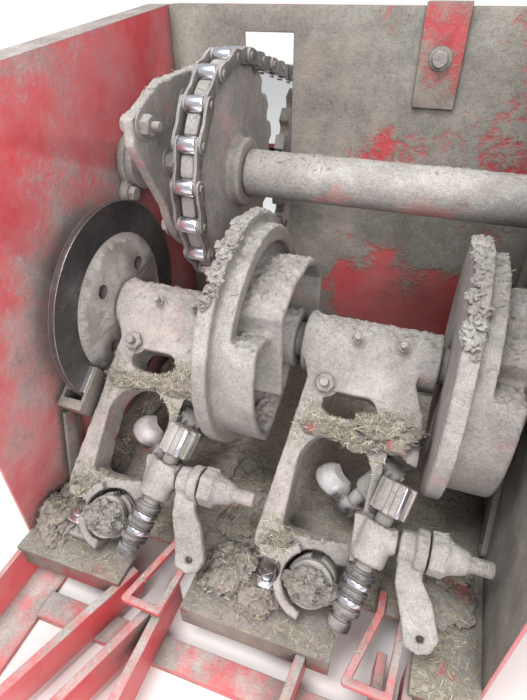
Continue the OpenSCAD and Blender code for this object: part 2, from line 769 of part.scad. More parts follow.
// Small wheel, stub shaft and bracket behind the back plate
ear_t = 8;
ear_gap = window_w + 8;
stub_r = 15;
module rear_wheel() {
    color(dusty) difference() {
        union() {
            along_x(chain_x - wheel_t / 2, wheel_t, rear_y, rear_z) wheel_outline(-90 - chain_fall);
            bar_x(chain_x - ear_gap / 2 + 1, ear_gap - 2, 32, rear_y, rear_z);
        }
        bar_x(-2 * plate_x, 4 * plate_x, stub_r + shaft_fit, rear_y, rear_z);
    }
}
module rear_bracket() {
    reach = rear_back - back_gap - sheet_t;
    foot = reach * tan(12);
    color(paint) {
        for (x0 = [chain_x - ear_gap / 2 - ear_t, chain_x + ear_gap / 2]) {
            along_x(x0, ear_t, rear_y, rear_z) {
                polygon([[-reach, -34 - foot], [-reach, 34 + foot], [0, 26], [0, -26]]);
                circle(26);
            }
        }
        for (x0 = [chain_x - ear_gap / 2 - 30, chain_x + ear_gap / 2])
            along_x(x0, 30, rear_y, rear_z) translate([-reach, -34 - foot]) square([6, 68 + 2 * foot]);
        bar_x(chain_x - ear_gap / 2 - ear_t, ear_gap + 2 * ear_t, stub_r, rear_y, rear_z);
    }
}

// Flat stay bar on the right side plate, from the table upwards to the rear
stay_t = 6;
stay_w = 22;
stay_len = 270;
stay_angle = 56.7;
module stay_bar() {
    color(dusty) along_x(plate_in - stay_t, stay_t)
        translate([-79, stay_w / 2 + seat_gap - table_drop]) rotate(stay_angle) difference() {
            eye_link(stay_len, stay_w / 2);
            circle(5);
            translate([stay_len, 0]) circle(5);
        }
}

side_plate(-1);  // side_plate_left
side_plate(1);  // side_plate_right
back_plate();
back_strap();
knotter_table();
outer_rail(-1);  // rail_left
outer_rail(1);  // rail_right
cross_member(cross_end - rail_len / 2);  // cross_front
cross_member(rail_len / 2 - cross_rear_end);  // cross_rear
slat(slats[0]);  // slat_1
slat(slats[1]);  // slat_2
slat(slats[2]);  // slat_3
slat(slats[3]);  // slat_4
slat(slats[4]);  // slat_5
slat(slats[5]);  // slat_6
shaft_bearing(-1);  // shaft_bearing_left
shaft_bearing(1);  // shaft_bearing_right
tube_bearing(1);  // tube_bearing_left
tube_bearing(-1);  // tube_bearing_right
knotter_shaft();
brake_disc();
brake_pads();
brake_bracket();
cam_disc(0);  // cam_disc_1
cam_disc(1);  // cam_disc_2
knotter_frame(0);  // knotter_frame_1
knotter_frame(1);  // knotter_frame_2
foot_bolt(0);  // foot_bolt_1
foot_bolt(1);  // foot_bolt_2
bill_hook(0);  // bill_hook_1
bill_hook(1);  // bill_hook_2
hook_tongue(0);  // hook_tongue_1
hook_tongue(1);  // hook_tongue_2
worm(0);  // worm_1
worm(1);  // worm_2
twine_disc(0);  // twine_disc_1
twine_disc(1);  // twine_disc_2
pivot_stud(0);  // pivot_stud_1
pivot_stud(1);  // pivot_stud_2
stripper_arm(0);  // stripper_arm_1
stripper_arm(1);  // stripper_arm_2
twine_guide(0);  // twine_guide_1
twine_guide(1);  // twine_guide_2
drive_tube();
chain_wheel();
flange_plate();
chain();
rear_wheel();
rear_bracket();
stay_bar();
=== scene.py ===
# %% [markdown]
# The twin knotter station of a square baler: a cam shaft, two twine knotters and a chain drive in an open
# sheet-metal box full of dust and chaff. Its solids could be modelled again here, but loading them as a fixed
# frame keeps every hole and joint true. The script makes them rounded, worn and dusty, and adds small parts.

# %% Load the frame
import bpy
import json
import math
import random
import numpy as np
from mathutils import Matrix, Vector
from mathutils.bvhtree import BVHTree

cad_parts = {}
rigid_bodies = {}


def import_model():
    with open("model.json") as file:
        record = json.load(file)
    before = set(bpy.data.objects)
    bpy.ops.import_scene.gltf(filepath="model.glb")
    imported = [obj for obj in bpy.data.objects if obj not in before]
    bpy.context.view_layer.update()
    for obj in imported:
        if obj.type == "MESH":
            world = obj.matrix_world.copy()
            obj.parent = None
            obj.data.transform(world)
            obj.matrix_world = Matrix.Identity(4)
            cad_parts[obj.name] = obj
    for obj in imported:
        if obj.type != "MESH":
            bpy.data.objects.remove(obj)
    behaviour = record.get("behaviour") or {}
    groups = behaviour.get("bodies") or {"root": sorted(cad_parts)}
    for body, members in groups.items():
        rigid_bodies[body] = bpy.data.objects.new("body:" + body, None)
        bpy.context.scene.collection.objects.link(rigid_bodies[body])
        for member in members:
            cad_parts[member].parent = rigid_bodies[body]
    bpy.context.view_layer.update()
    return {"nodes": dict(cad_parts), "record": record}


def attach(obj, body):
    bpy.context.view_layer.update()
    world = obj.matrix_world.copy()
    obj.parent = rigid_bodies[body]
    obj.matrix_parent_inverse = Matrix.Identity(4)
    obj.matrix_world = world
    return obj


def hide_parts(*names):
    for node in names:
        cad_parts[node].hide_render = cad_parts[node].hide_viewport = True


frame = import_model()
bodies = frame["record"]["behaviour"]["bodies"]
body_of_node = {node: body for body, nodes in bodies.items() for node in nodes}

# %% [markdown]
# Everything is set out from the knotter shaft, in metres. Both heads hang on it and lean forward by 46
# degrees. A helper turns a head's own coordinates into the frame's, so that both heads can share simple
# numbers.

# %% Places
SHAFT_Y, SHAFT_Z = -0.078, 0.258
HEADS = (-0.157, 0.083)
TUBE_Y, TUBE_Z = SHAFT_Y + 0.116, SHAFT_Z + 0.149
TABLE_Z = SHAFT_Z - 0.196
LEAN = math.radians(-46)


def shaft_place(x, y, z):
    return Vector((x, SHAFT_Y + y, SHAFT_Z + z))


def head_matrix(i):
    return Matrix.Translation((HEADS[i], SHAFT_Y, SHAFT_Z)) @ Matrix.Rotation(LEAN, 4, "X")


def head_place(i, x, y, z):
    return head_matrix(i) @ Vector((x, y, z))


print("left head's foot", [round(v, 3) for v in head_place(0, -0.05, 0, -0.235)])

# %% [markdown]
# Paint, cast iron, rubbed steel and chaff are each a network of nodes. Drawing twenty of them in the editor
# would be slow, so helpers add a node, set its values and link its inputs, and a group can serve all of them.


# %% Groups and nodes
def new_group(name, inputs, outputs):
    g = bpy.data.node_groups.new(name, "ShaderNodeTree")
    for n, kind, value in inputs:
        g.interface.new_socket(n, in_out="INPUT", socket_type=kind).default_value = value
    for n, kind in outputs:
        g.interface.new_socket(n, in_out="OUTPUT", socket_type=kind)
    return g, g.nodes.new("NodeGroupInput"), g.nodes.new("NodeGroupOutput")


def node(tree, kind, links=None, **values):
    """Adds a node. A value goes to the setting of that name, or else to the input."""
    n = tree.nodes.new(kind)
    for k, v in values.items():
        if hasattr(n, k):
            setattr(n, k, v)
        else:
            n.inputs[k].default_value = v
    for socket, source in (links or {}).items():
        tree.links.new(source, n.inputs[socket])
    return n


print("node helpers ready")

# %% [markdown]
# Dirt and wear follow no outline, and a picture of them would stretch and repeat. Sums of noise cut by ramps
# give patches of every size. They read object coordinates, which stay with a piece when its body turns.


# %% Sums, noise, ramps and blends
def fill(tree, n, values):
    """Sets each input to a number or colour, or links it to an output."""
    for i, v in values:
        if isinstance(v, tuple):
            n.inputs[i].default_value = (*v, 1)
        elif isinstance(v, (int, float)):
            n.inputs[i].default_value = v
        else:
            tree.links.new(v, n.inputs[i])


def maths(tree, op, a, b, clamp=False):
    n = node(tree, "ShaderNodeMath", operation=op, use_clamp=clamp)
    fill(tree, n, ((0, a), (1, b)))
    return n.outputs[0]


def plus(tree, a, b, clamp=False):
    return maths(tree, "ADD", a, b, clamp)


def minus(tree, a, b, clamp=False):
    return maths(tree, "SUBTRACT", a, b, clamp)


def times(tree, a, b, clamp=False):
    return maths(tree, "MULTIPLY", a, b, clamp)


def noise(tree, coords, scale, detail, rough, stretch=None):
    if stretch:
        m = node(tree, "ShaderNodeMapping", {"Vector": coords}, Scale=stretch)
        coords = m.outputs["Vector"]
    return node(tree, "ShaderNodeTexNoise", {"Vector": coords}, Scale=scale, Detail=detail,
                Roughness=rough).outputs["Fac"]


def ramp(tree, fac, stops):
    n = node(tree, "ShaderNodeValToRGB", {"Fac": fac})
    while len(n.color_ramp.elements) < len(stops):
        n.color_ramp.elements.new(0.5)
    for e, (p, c) in zip(n.color_ramp.elements, stops):
        e.position = p
        e.color = (c, c, c, 1) if isinstance(c, (int, float)) else (*c, 1)
    return n.outputs["Color"]


def blend(tree, fac, a, b, how="MIX"):
    n = node(tree, "ShaderNodeMix", data_type="RGBA", blend_type=how)
    fill(tree, n, ((0, fac), (6, a), (7, b)))
    return n.outputs[2]


print("pattern helpers ready")

# %% [markdown]
# The same dust lies on all: thick in corners and on what looks up, and in patches. Paint put on by hand would
# not survive a change of shape, so a mask is summed up from the normal, ambient occlusion and noise in two
# sizes.

# %% Where the dust lies
BROAD_SHARE, FINE_SHARE, CORNER_SHARE, MIDDLE = 3.2, 1.3, 0.9, 0.5


def dust_mask(g, p, up, ao, given):
    patches = node(g, "ShaderNodeTexNoise", {"Vector": p, "Scale": given["Size"]}, Detail=7.0, Roughness=0.62)
    broad = minus(g, patches.outputs["Fac"], MIDDLE)
    fine = minus(g, noise(g, p, 130, 6, 0.7), MIDDLE)
    m = plus(g, given["Amount"], times(g, up, given["Top"]))
    for part, share in ((broad, BROAD_SHARE), (fine, FINE_SHARE)):
        m = plus(g, m, times(g, part, times(g, given["Patch"], share)))
    m = plus(g, m, times(g, minus(g, 1.0, ao), CORNER_SHARE))
    m = times(g, minus(g, m, MIDDLE), given["Sharp"])
    return plus(g, m, MIDDLE, clamp=True)


print("patch shares:", BROAD_SHARE, FINE_SHARE)

# %% [markdown]
# Dust of chaff and soil is grey-brown with pale and dark specks, and pink where it lies thin on red paint.
# Its colour is also painted darker in corners, as shade, wherever ambient occlusion finds one. The bits of
# straw in it could be modelled, but noise that is stretched three ways and cut at its peaks draws thousands
# of them at no cost.

# %% What the dust looks like, with painted shade in corners
DUST_STOPS = [(0.32, (0.24, 0.215, 0.20)), (0.5, (0.45, 0.43, 0.42)), (0.66, (0.70, 0.675, 0.67))]
SPECK_STOPS = [(0.36, (0.15, 0.13, 0.115)), (0.47, (0.48, 0.465, 0.46)), (0.64, (0.71, 0.69, 0.68))]
PINK_CAST, DARK_GRAIN = (0.70, 0.53, 0.52), (0.20, 0.17, 0.14)
STRAW_BIT, PAINTED_CORNER_SHADE = (0.56, 0.51, 0.38), (0.10, 0.088, 0.078)
STRETCHES = ((1.0, 0.18, 1.0), (0.2, 1.0, 0.6), (0.7, 0.7, 0.15))


def straw_bits(g, p, amount):
    strokes = [ramp(g, noise(g, p, 260, 2, 0.5, s), [(0.625, 0.0), (0.65, 1.0)]) for s in STRETCHES]
    bits = maths(g, "MAXIMUM", maths(g, "MAXIMUM", strokes[0], strokes[1]), strokes[2])
    return times(g, bits, amount, clamp=True)


def dust_tone_and_corner_shade(g, p, ao, grain, clump, bits):
    tone = ramp(g, noise(g, p, 20, 9, 0.70), DUST_STOPS)
    tone = blend(g, 0.34, tone, ramp(g, clump, SPECK_STOPS))
    tone = blend(g, ramp(g, noise(g, p, 10, 5, 0.62), [(0.53, 0.0), (0.64, 0.30)]), tone, PINK_CAST)
    tone = blend(g, ramp(g, grain, [(0.40, 0.55), (0.58, 0.0)]), tone, DARK_GRAIN)
    tone = blend(g, bits, tone, STRAW_BIT)
    # painted shade: the colour turns dark where ambient occlusion finds a corner, as shade falls there
    return blend(g, ramp(g, ao, [(0.25, 0.72), (0.92, 0.0)]), tone, PAINTED_CORNER_SHADE)


print("dust tones:", len(DUST_STOPS) + len(SPECK_STOPS))

# %% [markdown]
# A cake of dust has a colour, an edge and a rough top, and the colour also carries painted shade in corners.
# All three could be built anew in each material, but one node group with named inputs serves them all, and
# every material sets only its own amounts.


# %% The dust group
def make_dust():
    floats = (("Amount", 0.5), ("Top", 0.45), ("Patch", 0.9), ("Chaff", 0.3), ("Sharp", 1.0), ("Size", 16.0))
    inputs = [(n, "NodeSocketFloat", v) for n, v in floats] + [("Shade", "NodeSocketColor", (1, 1, 1, 1))]
    outputs = [("Mask", "NodeSocketFloat"), ("Color", "NodeSocketColor"), ("Height", "NodeSocketFloat")]
    g, gi, go = new_group("dust_layer", inputs, outputs)
    given = gi.outputs
    tc = node(g, "ShaderNodeTexCoord")
    p = tc.outputs["Object"]
    up = node(g, "ShaderNodeSeparateXYZ", {"Vector": tc.outputs["Normal"]}).outputs["Z"]
    ao = node(g, "ShaderNodeAmbientOcclusion", Distance=0.03, samples=5).outputs["AO"]
    grain, clump = noise(g, p, 1000, 3, 0.8), noise(g, p, 330, 6, 0.75)
    mask = dust_mask(g, p, up, ao, given)
    bits = straw_bits(g, p, given["Chaff"])
    tone = blend(g, 1.0, dust_tone_and_corner_shade(g, p, ao, grain, clump, bits), given["Shade"], "MULTIPLY")
    height = plus(g, times(g, grain, 0.6), clump)
    height = plus(g, height, times(g, noise(g, p, 75, 5, 0.6), 0.8))
    height = plus(g, times(g, height, mask), times(g, bits, 0.4))
    for name, value in (("Mask", mask), ("Color", tone), ("Height", height)):
        g.links.new(value, go.inputs[name])
    return g


dust_layer = make_dust()
print("dust group nodes:", len(dust_layer.nodes))

# %% [markdown]
# Edges are where paint chips first and where steel is rubbed bright. They could be painted by hand, but the
# gap between the plain normal and a rounded one finds them all, and noise breaks the line.


# %% The edge group
def make_edge():
    inputs = [("Radius", "NodeSocketFloat", 0.0015), ("Amount", "NodeSocketFloat", 1.0)]
    g, gi, go = new_group("edge_wear", inputs, [("Mask", "NodeSocketFloat")])
    tc = node(g, "ShaderNodeTexCoord")
    soft = node(g, "ShaderNodeBevel", {"Radius": gi.outputs["Radius"]}, samples=3)
    geo = node(g, "ShaderNodeNewGeometry")
    dot = node(g, "ShaderNodeVectorMath", {0: soft.outputs["Normal"], 1: geo.outputs["Normal"]},
               operation="DOT_PRODUCT")
    bare = times(g, minus(g, 1.0, dot.outputs["Value"]), 6.0)
    broken = times(g, noise(g, tc.outputs["Object"], 60, 6, 0.7), 2.0)
    out = times(g, times(g, bare, broken), gi.outputs["Amount"], clamp=True)
    g.links.new(out, go.inputs["Mask"])
    return g


edge_wear = make_edge()
print("edge group nodes:", len(edge_wear.nodes))

# %% [markdown]
# Below the dust lies paint or metal in two tones. Some sheets also show spots of another colour, a pale film
# that thins out upwards, or an area washed clean. Each is optional, so one maker does for plain and rich
# finishes.

# %% Under the dust
FILM_COLOR = (0.66, 0.50, 0.49)


def under_dust(t, p, base, base2, tint, film):
    under = blend(t, noise(t, p, 30, 5, 0.6), base, base2)
    if tint:
        color, amount, cover = tint
        spots = ramp(t, noise(t, p, 22, 6, 0.62), [(cover, 0.0), (cover + 0.05, 1.0)])
        under = blend(t, times(t, spots, amount), under, color)
    if film:
        thin = times(t, ramp(t, noise(t, p, 7, 7, 0.7), [(0.36, 0.15), (0.62, 1.0)]), film)
        height = node(t, "ShaderNodeSeparateXYZ", {"Vector": p}).outputs["Z"]
        low = ramp(t, height, [(0.10, 1.0), (0.42, 0.55)])
        under = blend(t, times(t, thin, low), under, FILM_COLOR)
    return under


def washed(t, p, dust, clean):
    """Takes dust away round a place, with a ragged edge."""
    middle, reach, less = clean
    away = node(t, "ShaderNodeVectorMath", {0: p}, operation="DISTANCE")
    away.inputs[1].default_value = middle
    ragged = minus(t, times(t, noise(t, p, 11, 5, 0.6), 0.9), 0.45)
    near = plus(t, maths(t, "DIVIDE", away.outputs["Value"], reach), ragged)
    near = ramp(t, near, [(0.55, 1.0), (0.9, 0.0)])
    return minus(t, dust, times(t, near, less))


print("film colour:", FILM_COLOR)

# %% [markdown]
# A real finish is built up from paint or metal, bare edges and dust. Mixing whole shaders would do it, but
# one shader with mixed inputs is faster: the dust's mask turns metal and gloss down where dust lies.

# %% The material maker
WORN_METAL, DUST_ROUGHNESS, GLOSS_SPREAD = 0.7, 0.93, 0.25
DUST_SHADE, BARE_EDGE = (0.95, 0.94, 0.92), (0.30, 0.27, 0.26)


def make_material(name, base, base2, metallic, rough, dust, top=0.45, patch=0.9, chaff=0.3, sharp=1.0,
                  size=16.0, shade=DUST_SHADE, worn=BARE_EDGE, wear=0.6, bump=0.35, tint=None, film=0.0,
                  clean=None):
    m = bpy.data.materials.new(name)
    m.use_nodes = True
    t = m.node_tree
    t.nodes.clear()
    b = node(t, "ShaderNodeBsdfPrincipled")
    node(t, "ShaderNodeOutputMaterial", {0: b.outputs[0]})
    p = node(t, "ShaderNodeTexCoord").outputs["Object"]
    under = under_dust(t, p, base, base2, tint, film)
    e = node(t, "ShaderNodeGroup", node_tree=edge_wear)
    e.inputs["Amount"].default_value = wear
    under = blend(t, e.outputs["Mask"], under, worn)
    d = node(t, "ShaderNodeGroup", node_tree=dust_layer)
    given = {"Amount": dust, "Top": top, "Patch": patch, "Chaff": chaff, "Sharp": sharp, "Size": size}
    for k, v in given.items():
        d.inputs[k].default_value = v
    d.inputs["Shade"].default_value = (*shade, 1)
    if clean:
        t.links.new(washed(t, p, dust, clean), d.inputs["Amount"])
    mask = d.outputs["Mask"]
    # the dust's colour brings its painted corner shade into the base colour
    t.links.new(blend(t, mask, under, d.outputs["Color"]), b.inputs["Base Color"])
    clear = minus(t, 1.0, mask, clamp=True)
    bare = maths(t, "MAXIMUM", metallic, times(t, e.outputs["Mask"], WORN_METAL))
    t.links.new(times(t, bare, clear), b.inputs["Metallic"])
    gloss = plus(t, times(t, noise(t, p, 80, 5, 0.6), GLOSS_SPREAD), rough - 0.12)
    gloss = times(t, gloss, clear)
    gloss = plus(t, gloss, times(t, mask, DUST_ROUGHNESS), clamp=True)
    t.links.new(gloss, b.inputs["Roughness"])
    bumped = node(t, "ShaderNodeBump", {"Height": d.outputs["Height"]}, Strength=bump, Distance=0.003)
    t.links.new(bumped.outputs["Normal"], b.inputs["Normal"])
    return m


print("dust roughness:", DUST_ROUGHNESS)

# %% [markdown]
# The box, table and rails are painted red. The back sheet and table are caked almost all over, the side
# sheets only on top and in streaks, and straw rubs the rails clean. One maker with other numbers gives all of
# them.

# %% Paints
RED, RED_DEEP = (0.60, 0.05, 0.06), (0.34, 0.03, 0.04)
side_paint = make_material(
    "dusty red side sheet", (0.70, 0.045, 0.06), (0.46, 0.03, 0.045), 0.0, 0.5, 0.02, top=1.6, patch=0.8,
    chaff=0.02, sharp=2.0, size=7.0, shade=(0.80, 0.74, 0.72), wear=0.5, bump=0.3, film=0.62)
rail_paint = make_material(
    "bright red rails", (0.62, 0.045, 0.055), RED, 0.0, 0.4, -0.10, top=0.62, patch=0.7, sharp=2.0,
    bump=0.25, film=0.3)
back_paint = make_material(
    "caked back sheet", (0.60, 0.04, 0.05), (0.42, 0.03, 0.04), 0.0, 0.5, 0.88, top=0.5, patch=1.0,
    chaff=0.0, sharp=3.0, size=6.5, shade=(0.645, 0.64, 0.585), bump=0.5, film=0.3,
    clean=((0.105, 0.174, 0.150), 0.165, 0.85))
strap_paint = make_material(
    "dirty red strap", (0.50, 0.04, 0.05), RED_DEEP, 0.0, 0.5, 0.58, top=0.3, patch=1.0, chaff=0.0,
    sharp=2.0, size=10.0, shade=(0.60, 0.575, 0.52), bump=0.4, film=0.1)
print("paints:", len(bpy.data.materials))

# %% [markdown]
# The metals range from castings under a thick crust to steel that twine keeps as bright as a mirror. What
# sets them apart is mostly how much dust stays on, so they too are one maker's calls.

# %% Metals
casting = make_material(
    "caked casting", (0.34, 0.315, 0.32), (0.21, 0.19, 0.195), 0.2, 0.6, 0.76, top=0.5, patch=0.8,
    chaff=0.16, tint=((0.60, 0.22, 0.22), 0.75, 0.55), bump=0.6)
steel_dusty = make_material(
    "dusty steel", (0.36, 0.34, 0.34), (0.20, 0.18, 0.17), 0.8, 0.45, 0.55, patch=0.8, chaff=0.15, bump=0.5)
steel_bright = make_material(
    "twine polished steel", (0.78, 0.76, 0.82), (0.62, 0.60, 0.66), 1.0, 0.22, -0.7, top=0.2, patch=0.4,
    chaff=0.0, worn=(0.84, 0.83, 0.9), bump=0.1)
hook_steel = make_material(
    "hook steel", (0.72, 0.70, 0.74), (0.46, 0.44, 0.47), 1.0, 0.26, -0.16, top=1.1, patch=0.6, chaff=0.0,
    worn=(0.84, 0.83, 0.88), bump=0.2)
worm_dark = make_material(
    "oily worm", (0.13, 0.12, 0.125), (0.06, 0.055, 0.06), 0.85, 0.34, 0.05, top=0.4, chaff=0.1,
    worn=(0.5, 0.48, 0.5), wear=0.5, bump=0.4)
steel_worm = make_material(
    "worm steel", (0.17, 0.16, 0.17), (0.09, 0.08, 0.085), 0.7, 0.5, 0.72, top=0.3, patch=0.7, chaff=0.2,
    worn=(0.45, 0.43, 0.46), wear=0.1, bump=0.5)
chain_dark = make_material(
    "oiled chain plates", (0.22, 0.20, 0.20), (0.10, 0.09, 0.09), 0.7, 0.42, 0.26, top=0.35, chaff=0.1,
    worn=(0.7, 0.68, 0.72), wear=1.1, bump=0.5)
brake_iron = make_material(
    "rubbed brake iron", (0.24, 0.235, 0.24), (0.08, 0.077, 0.082), 0.85, 0.28, -0.06, top=0.0, patch=0.3,
    chaff=0.0, worn=(0.78, 0.77, 0.79), wear=1.7, bump=0.12)
dish_iron = make_material(
    "dusty brake dish", (0.38, 0.34, 0.33), (0.24, 0.21, 0.20), 0.3, 0.6, 0.88, top=0.3, patch=0.6,
    chaff=0.0, bump=0.3, shade=(1.05, 1.02, 1.0))
# near black: painted shade for the walls of the brake dish's holes
hole_shade = make_material(
    "oily grime", (0.05, 0.045, 0.045), (0.03, 0.027, 0.026), 0.0, 0.6, 0.0, top=0.1, patch=0.4, chaff=0.0,
    wear=0.0, bump=0.3)
print("paints and metals:", len(bpy.data.materials))

# %% [markdown]
# Chaff is chopped straw, leaf and soil: a crust on the table with red paint rubbed free here and there, brown
# clods, and single fibres. One straw colour would look like paint, so there are a pale and a dull one.

# %% Chaff
chaff_floor = make_material(
    "caked chaff", (0.52, 0.48, 0.40), (0.28, 0.24, 0.17), 0.0, 0.9, 0.56, top=0.05, patch=1.1, chaff=1.0,
    sharp=1.6, size=12.0, shade=(1.0, 0.975, 0.92), wear=0.0, bump=1.0, tint=(RED, 0.85, 0.585))
crust_mat = make_material(
    "brown clods", (0.40, 0.37, 0.33), (0.27, 0.24, 0.20), 0.0, 0.9, 0.66, top=0.3, chaff=0.5, wear=0.0,
    bump=1.0, shade=(0.92, 0.90, 0.86))
straw_a = make_material(
    "pale straw", (0.66, 0.61, 0.47), (0.50, 0.47, 0.36), 0.0, 0.6, -0.3, top=0.1, patch=0.5, chaff=0.0,
    wear=0.0, bump=0.1)
straw_b = make_material(
    "dull chaff", (0.34, 0.33, 0.20), (0.20, 0.17, 0.11), 0.0, 0.7, 0.0, top=0.1, patch=0.7, chaff=0.0,
    wear=0.0, bump=0.1)
print("materials:", [m.name for m in bpy.data.materials])

# %% [markdown]
# Each visible piece starts as a copy of its solid in the frame. Doubled corners are merged and flat faces
# joined, because a bevel needs clean edges. Tools act on what is selected, so every step first deselects all.

# %% Copies of the solids
MERGE_WITHIN, FLAT_WITHIN = 0.00002, 0.6


def linked(name, data):
    obj = bpy.data.objects.new(name, data)
    bpy.context.scene.collection.objects.link(obj)
    return obj


def deselect():
    bpy.ops.object.select_all(action="DESELECT")


def only(obj):
    deselect()
    obj.select_set(True)
    bpy.context.view_layer.objects.active = obj


def mode(name):
    bpy.ops.object.mode_set(mode=name)


def merged_copy(name, node_name, flat=FLAT_WITHIN):
    obj = linked(name, frame["nodes"][node_name].data.copy())
    only(obj)
    mode("EDIT")
    bpy.ops.mesh.select_all(action="SELECT")
    bpy.ops.mesh.remove_doubles(threshold=MERGE_WITHIN)
    if flat:
        bpy.ops.mesh.dissolve_limited(angle_limit=math.radians(flat))
    mode("OBJECT")
    return obj


print("corners merge within", MERGE_WITHIN, "m")

# %% [markdown]
# Real edges are broken by a file or by wear, and the thin bright line they catch makes them look like metal.
# Edges could be picked by hand, but a modifier that bevels all above an angle is quicker and more even. The
# copy then replaces its solid and moves with its body.

# %% Rounded edges
EDGE_WIDTH, SHEET_ANGLE, SMOOTH_ANGLE, SOFT_ANGLE = 0.0008, 35, 35, 60


def apply_all(obj):
    only(obj)
    for m in list(obj.modifiers):
        bpy.ops.object.modifier_apply(modifier=m.name)


def bevel(obj, width, angle):
    b = obj.modifiers.new("edge", "BEVEL")
    b.width = width
    b.segments = 2
    b.limit_method = "ANGLE"
    b.angle_limit = math.radians(angle)
    return b


def settle(obj, material, body, *nodes, angle=SMOOTH_ANGLE):
    """Gives a piece its material and shading, and hands it to its body."""
    obj.data.materials.clear()
    obj.data.materials.append(material)
    only(obj)
    bpy.ops.object.shade_smooth_by_angle(angle=math.radians(angle))
    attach(obj, body)
    if nodes:
        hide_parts(*nodes)
    return obj


def bevelled(node_name, material):
    obj = merged_copy(node_name + "_worn", node_name)
    bevel(obj, EDGE_WIDTH, SHEET_ANGLE).miter_outer = "MITER_ARC"
    apply_all(obj)
    return settle(obj, material, body_of_node[node_name], node_name)


print("edge radius:", EDGE_WIDTH, "m")

# %% [markdown]
# Which piece wears which finish was read from the photograph: red box and rails, a brake of rubbed iron,
# hooks that twine keeps bright. One table of names, instead of a cell for each, keeps that choice in sight.

# %% Sheets and machined pieces
FINISHES = (
    (side_paint, "side_plate_left side_plate_right"), (back_paint, "back_plate"),
    (strap_paint, "back_strap"), (rail_paint, "rail_left rail_right cross_front cross_rear"),
    (rail_paint, "slat_1 slat_2 slat_3 slat_4 slat_5 slat_6"), (strap_paint, "brake_bracket"),
    (rail_paint, "rear_bracket"), (back_paint, "knotter_table"), (steel_dusty, "stay_bar"),
    (rail_paint, "twine_guide_1 twine_guide_2"), (steel_dusty, "knotter_shaft"), (brake_iron, "brake_pads"),
    (casting, "shaft_bearing_left shaft_bearing_right"), (casting, "tube_bearing_left tube_bearing_right"),
    (steel_dusty, "rear_wheel"), (brake_iron, "brake_disc"), (steel_bright, "foot_bolt_1 foot_bolt_2"),
    (hook_steel, "bill_hook_1 bill_hook_2"), (steel_bright, "hook_tongue_1 hook_tongue_2"),
    (steel_worm, "worm_1 worm_2 twine_disc_1 twine_disc_2"))
WORN = {name: bevelled(name, finish) for finish, names in FINISHES for name in names.split()}
print("bevelled pieces:", len(WORN))

# %% [markdown]
# One piece can carry two finishes: the brake disc has a dusty dish inside its rubbed rim, and the table has
# chaff on top. Faces could be picked by hand, but a test finds them again after a change of shape.

# %% Second finishes
DISH_R, HOLES_FROM, HOLES_TO = 0.0925, 0.045, 0.086
INNER_X, BACK_TOP = 0.2605, SHAFT_Z + 0.309
FACING = 0.5


def second_material(obj, material, test):
    """Gives the faces that pass the test a material of their own."""
    obj.data.materials.append(material)
    slot = len(obj.data.materials) - 1
    co = [v.co for v in obj.data.vertices]
    picked = [f for f in obj.data.polygons if test([co[i] for i in f.vertices], f.normal)]
    for f in picked:
        f.material_index = slot
    return len(picked)


def from_shaft(c):
    return math.hypot(c.y - SHAFT_Y, c.z - SHAFT_Z)


def hole_wall(c, n):
    reach = [from_shaft(v) for v in c]
    return abs(n.x) < FACING and HOLES_FROM < min(reach) and max(reach) < HOLES_TO


for piece, material, test in (
        ("brake_disc", dish_iron, lambda c, n: max(map(from_shaft, c)) < DISH_R),
        # painted shade: the walls of the dish's holes are painted near black
        ("brake_disc", hole_shade, hole_wall),
        # the right sheet's inner face takes the darker back sheet paint: partly dirt, partly painted shade,
        # as that wall stands in shadow
        ("side_plate_right", back_paint, lambda c, n: n.x < -FACING and c[0].x < INNER_X),
        ("back_plate", strap_paint, lambda c, n: min(v.z for v in c) > BACK_TOP),
        ("knotter_table", strap_paint, lambda c, n: n.y < -FACING),
        ("knotter_table", chaff_floor, lambda c, n: n.z > FACING and c[0].z > TABLE_Z - 0.001)):
    print(piece, "faces with", material.name + ":", second_material(WORN[piece], material, test))

# %% [markdown]
# Twine and teeth polish only what they touch: two threads of each worm and one flat of its pinion shine on a
# dark shaft. The worm leans, so its faces are easiest to pick in coordinates that have its own axis as Z.

# %% Polished threads and flats
WORM_TOP, WORM_LEAN = (0.066, -0.034, -0.140), math.radians(12)
BARE_BELOW, RIBS, RIB_WIDTH, RIB_R = -0.078, (-0.1012, -0.1192), 0.006, 0.0142
TOOTH_FROM, TOOTH_TO, TOOTH_R, TOOTH_END = -1.2, -0.9, 0.0178, -0.026


def worm_frame(i):
    """Turns a place in the frame into the coordinates of one worm shaft."""
    top = head_matrix(i) @ Matrix.Translation(WORM_TOP)
    return (top @ Matrix.Rotation(WORM_LEAN, 4, "Y")).inverted()


def outside(q, radius):
    return min(math.hypot(v.x, v.y) for v in q) > radius


def bare_shank(q):
    return all(v.z < BARE_BELOW for v in q)


def thread(q):
    return any(all(z < v.z < z + RIB_WIDTH for v in q) for z in RIBS) and outside(q, RIB_R)


def flat(q):
    middle = sum(q, Vector()) / len(q)
    on_tooth = TOOTH_FROM < math.atan2(middle.y, middle.x) < TOOTH_TO
    return on_tooth and outside(q, TOOTH_R) and TOOTH_END < middle.z


for i in (0, 1):
    turn = worm_frame(i)
    for material, test in ((worm_dark, bare_shank), (steel_bright, thread), (steel_bright, flat)):
        count = second_material(WORN["worm_%d" % (i + 1)], material, lambda c, n: test([turn @ v for v in c]))
        print("worm", i + 1, test.__name__, "faces:", count)

# %% [markdown]
# Cast iron has soft corners and a sandy skin. Sculpting would take long and differ from piece to piece, so a
# voxel remesh makes an even skin, a smooth pass rounds it, and cloud patterns roughen it a little.

# %% Cloud patterns
def cloud(name, size, depth=2):
    tex = bpy.data.textures.new(name, "CLOUDS")
    tex.noise_scale = size
    tex.noise_depth = depth
    return tex


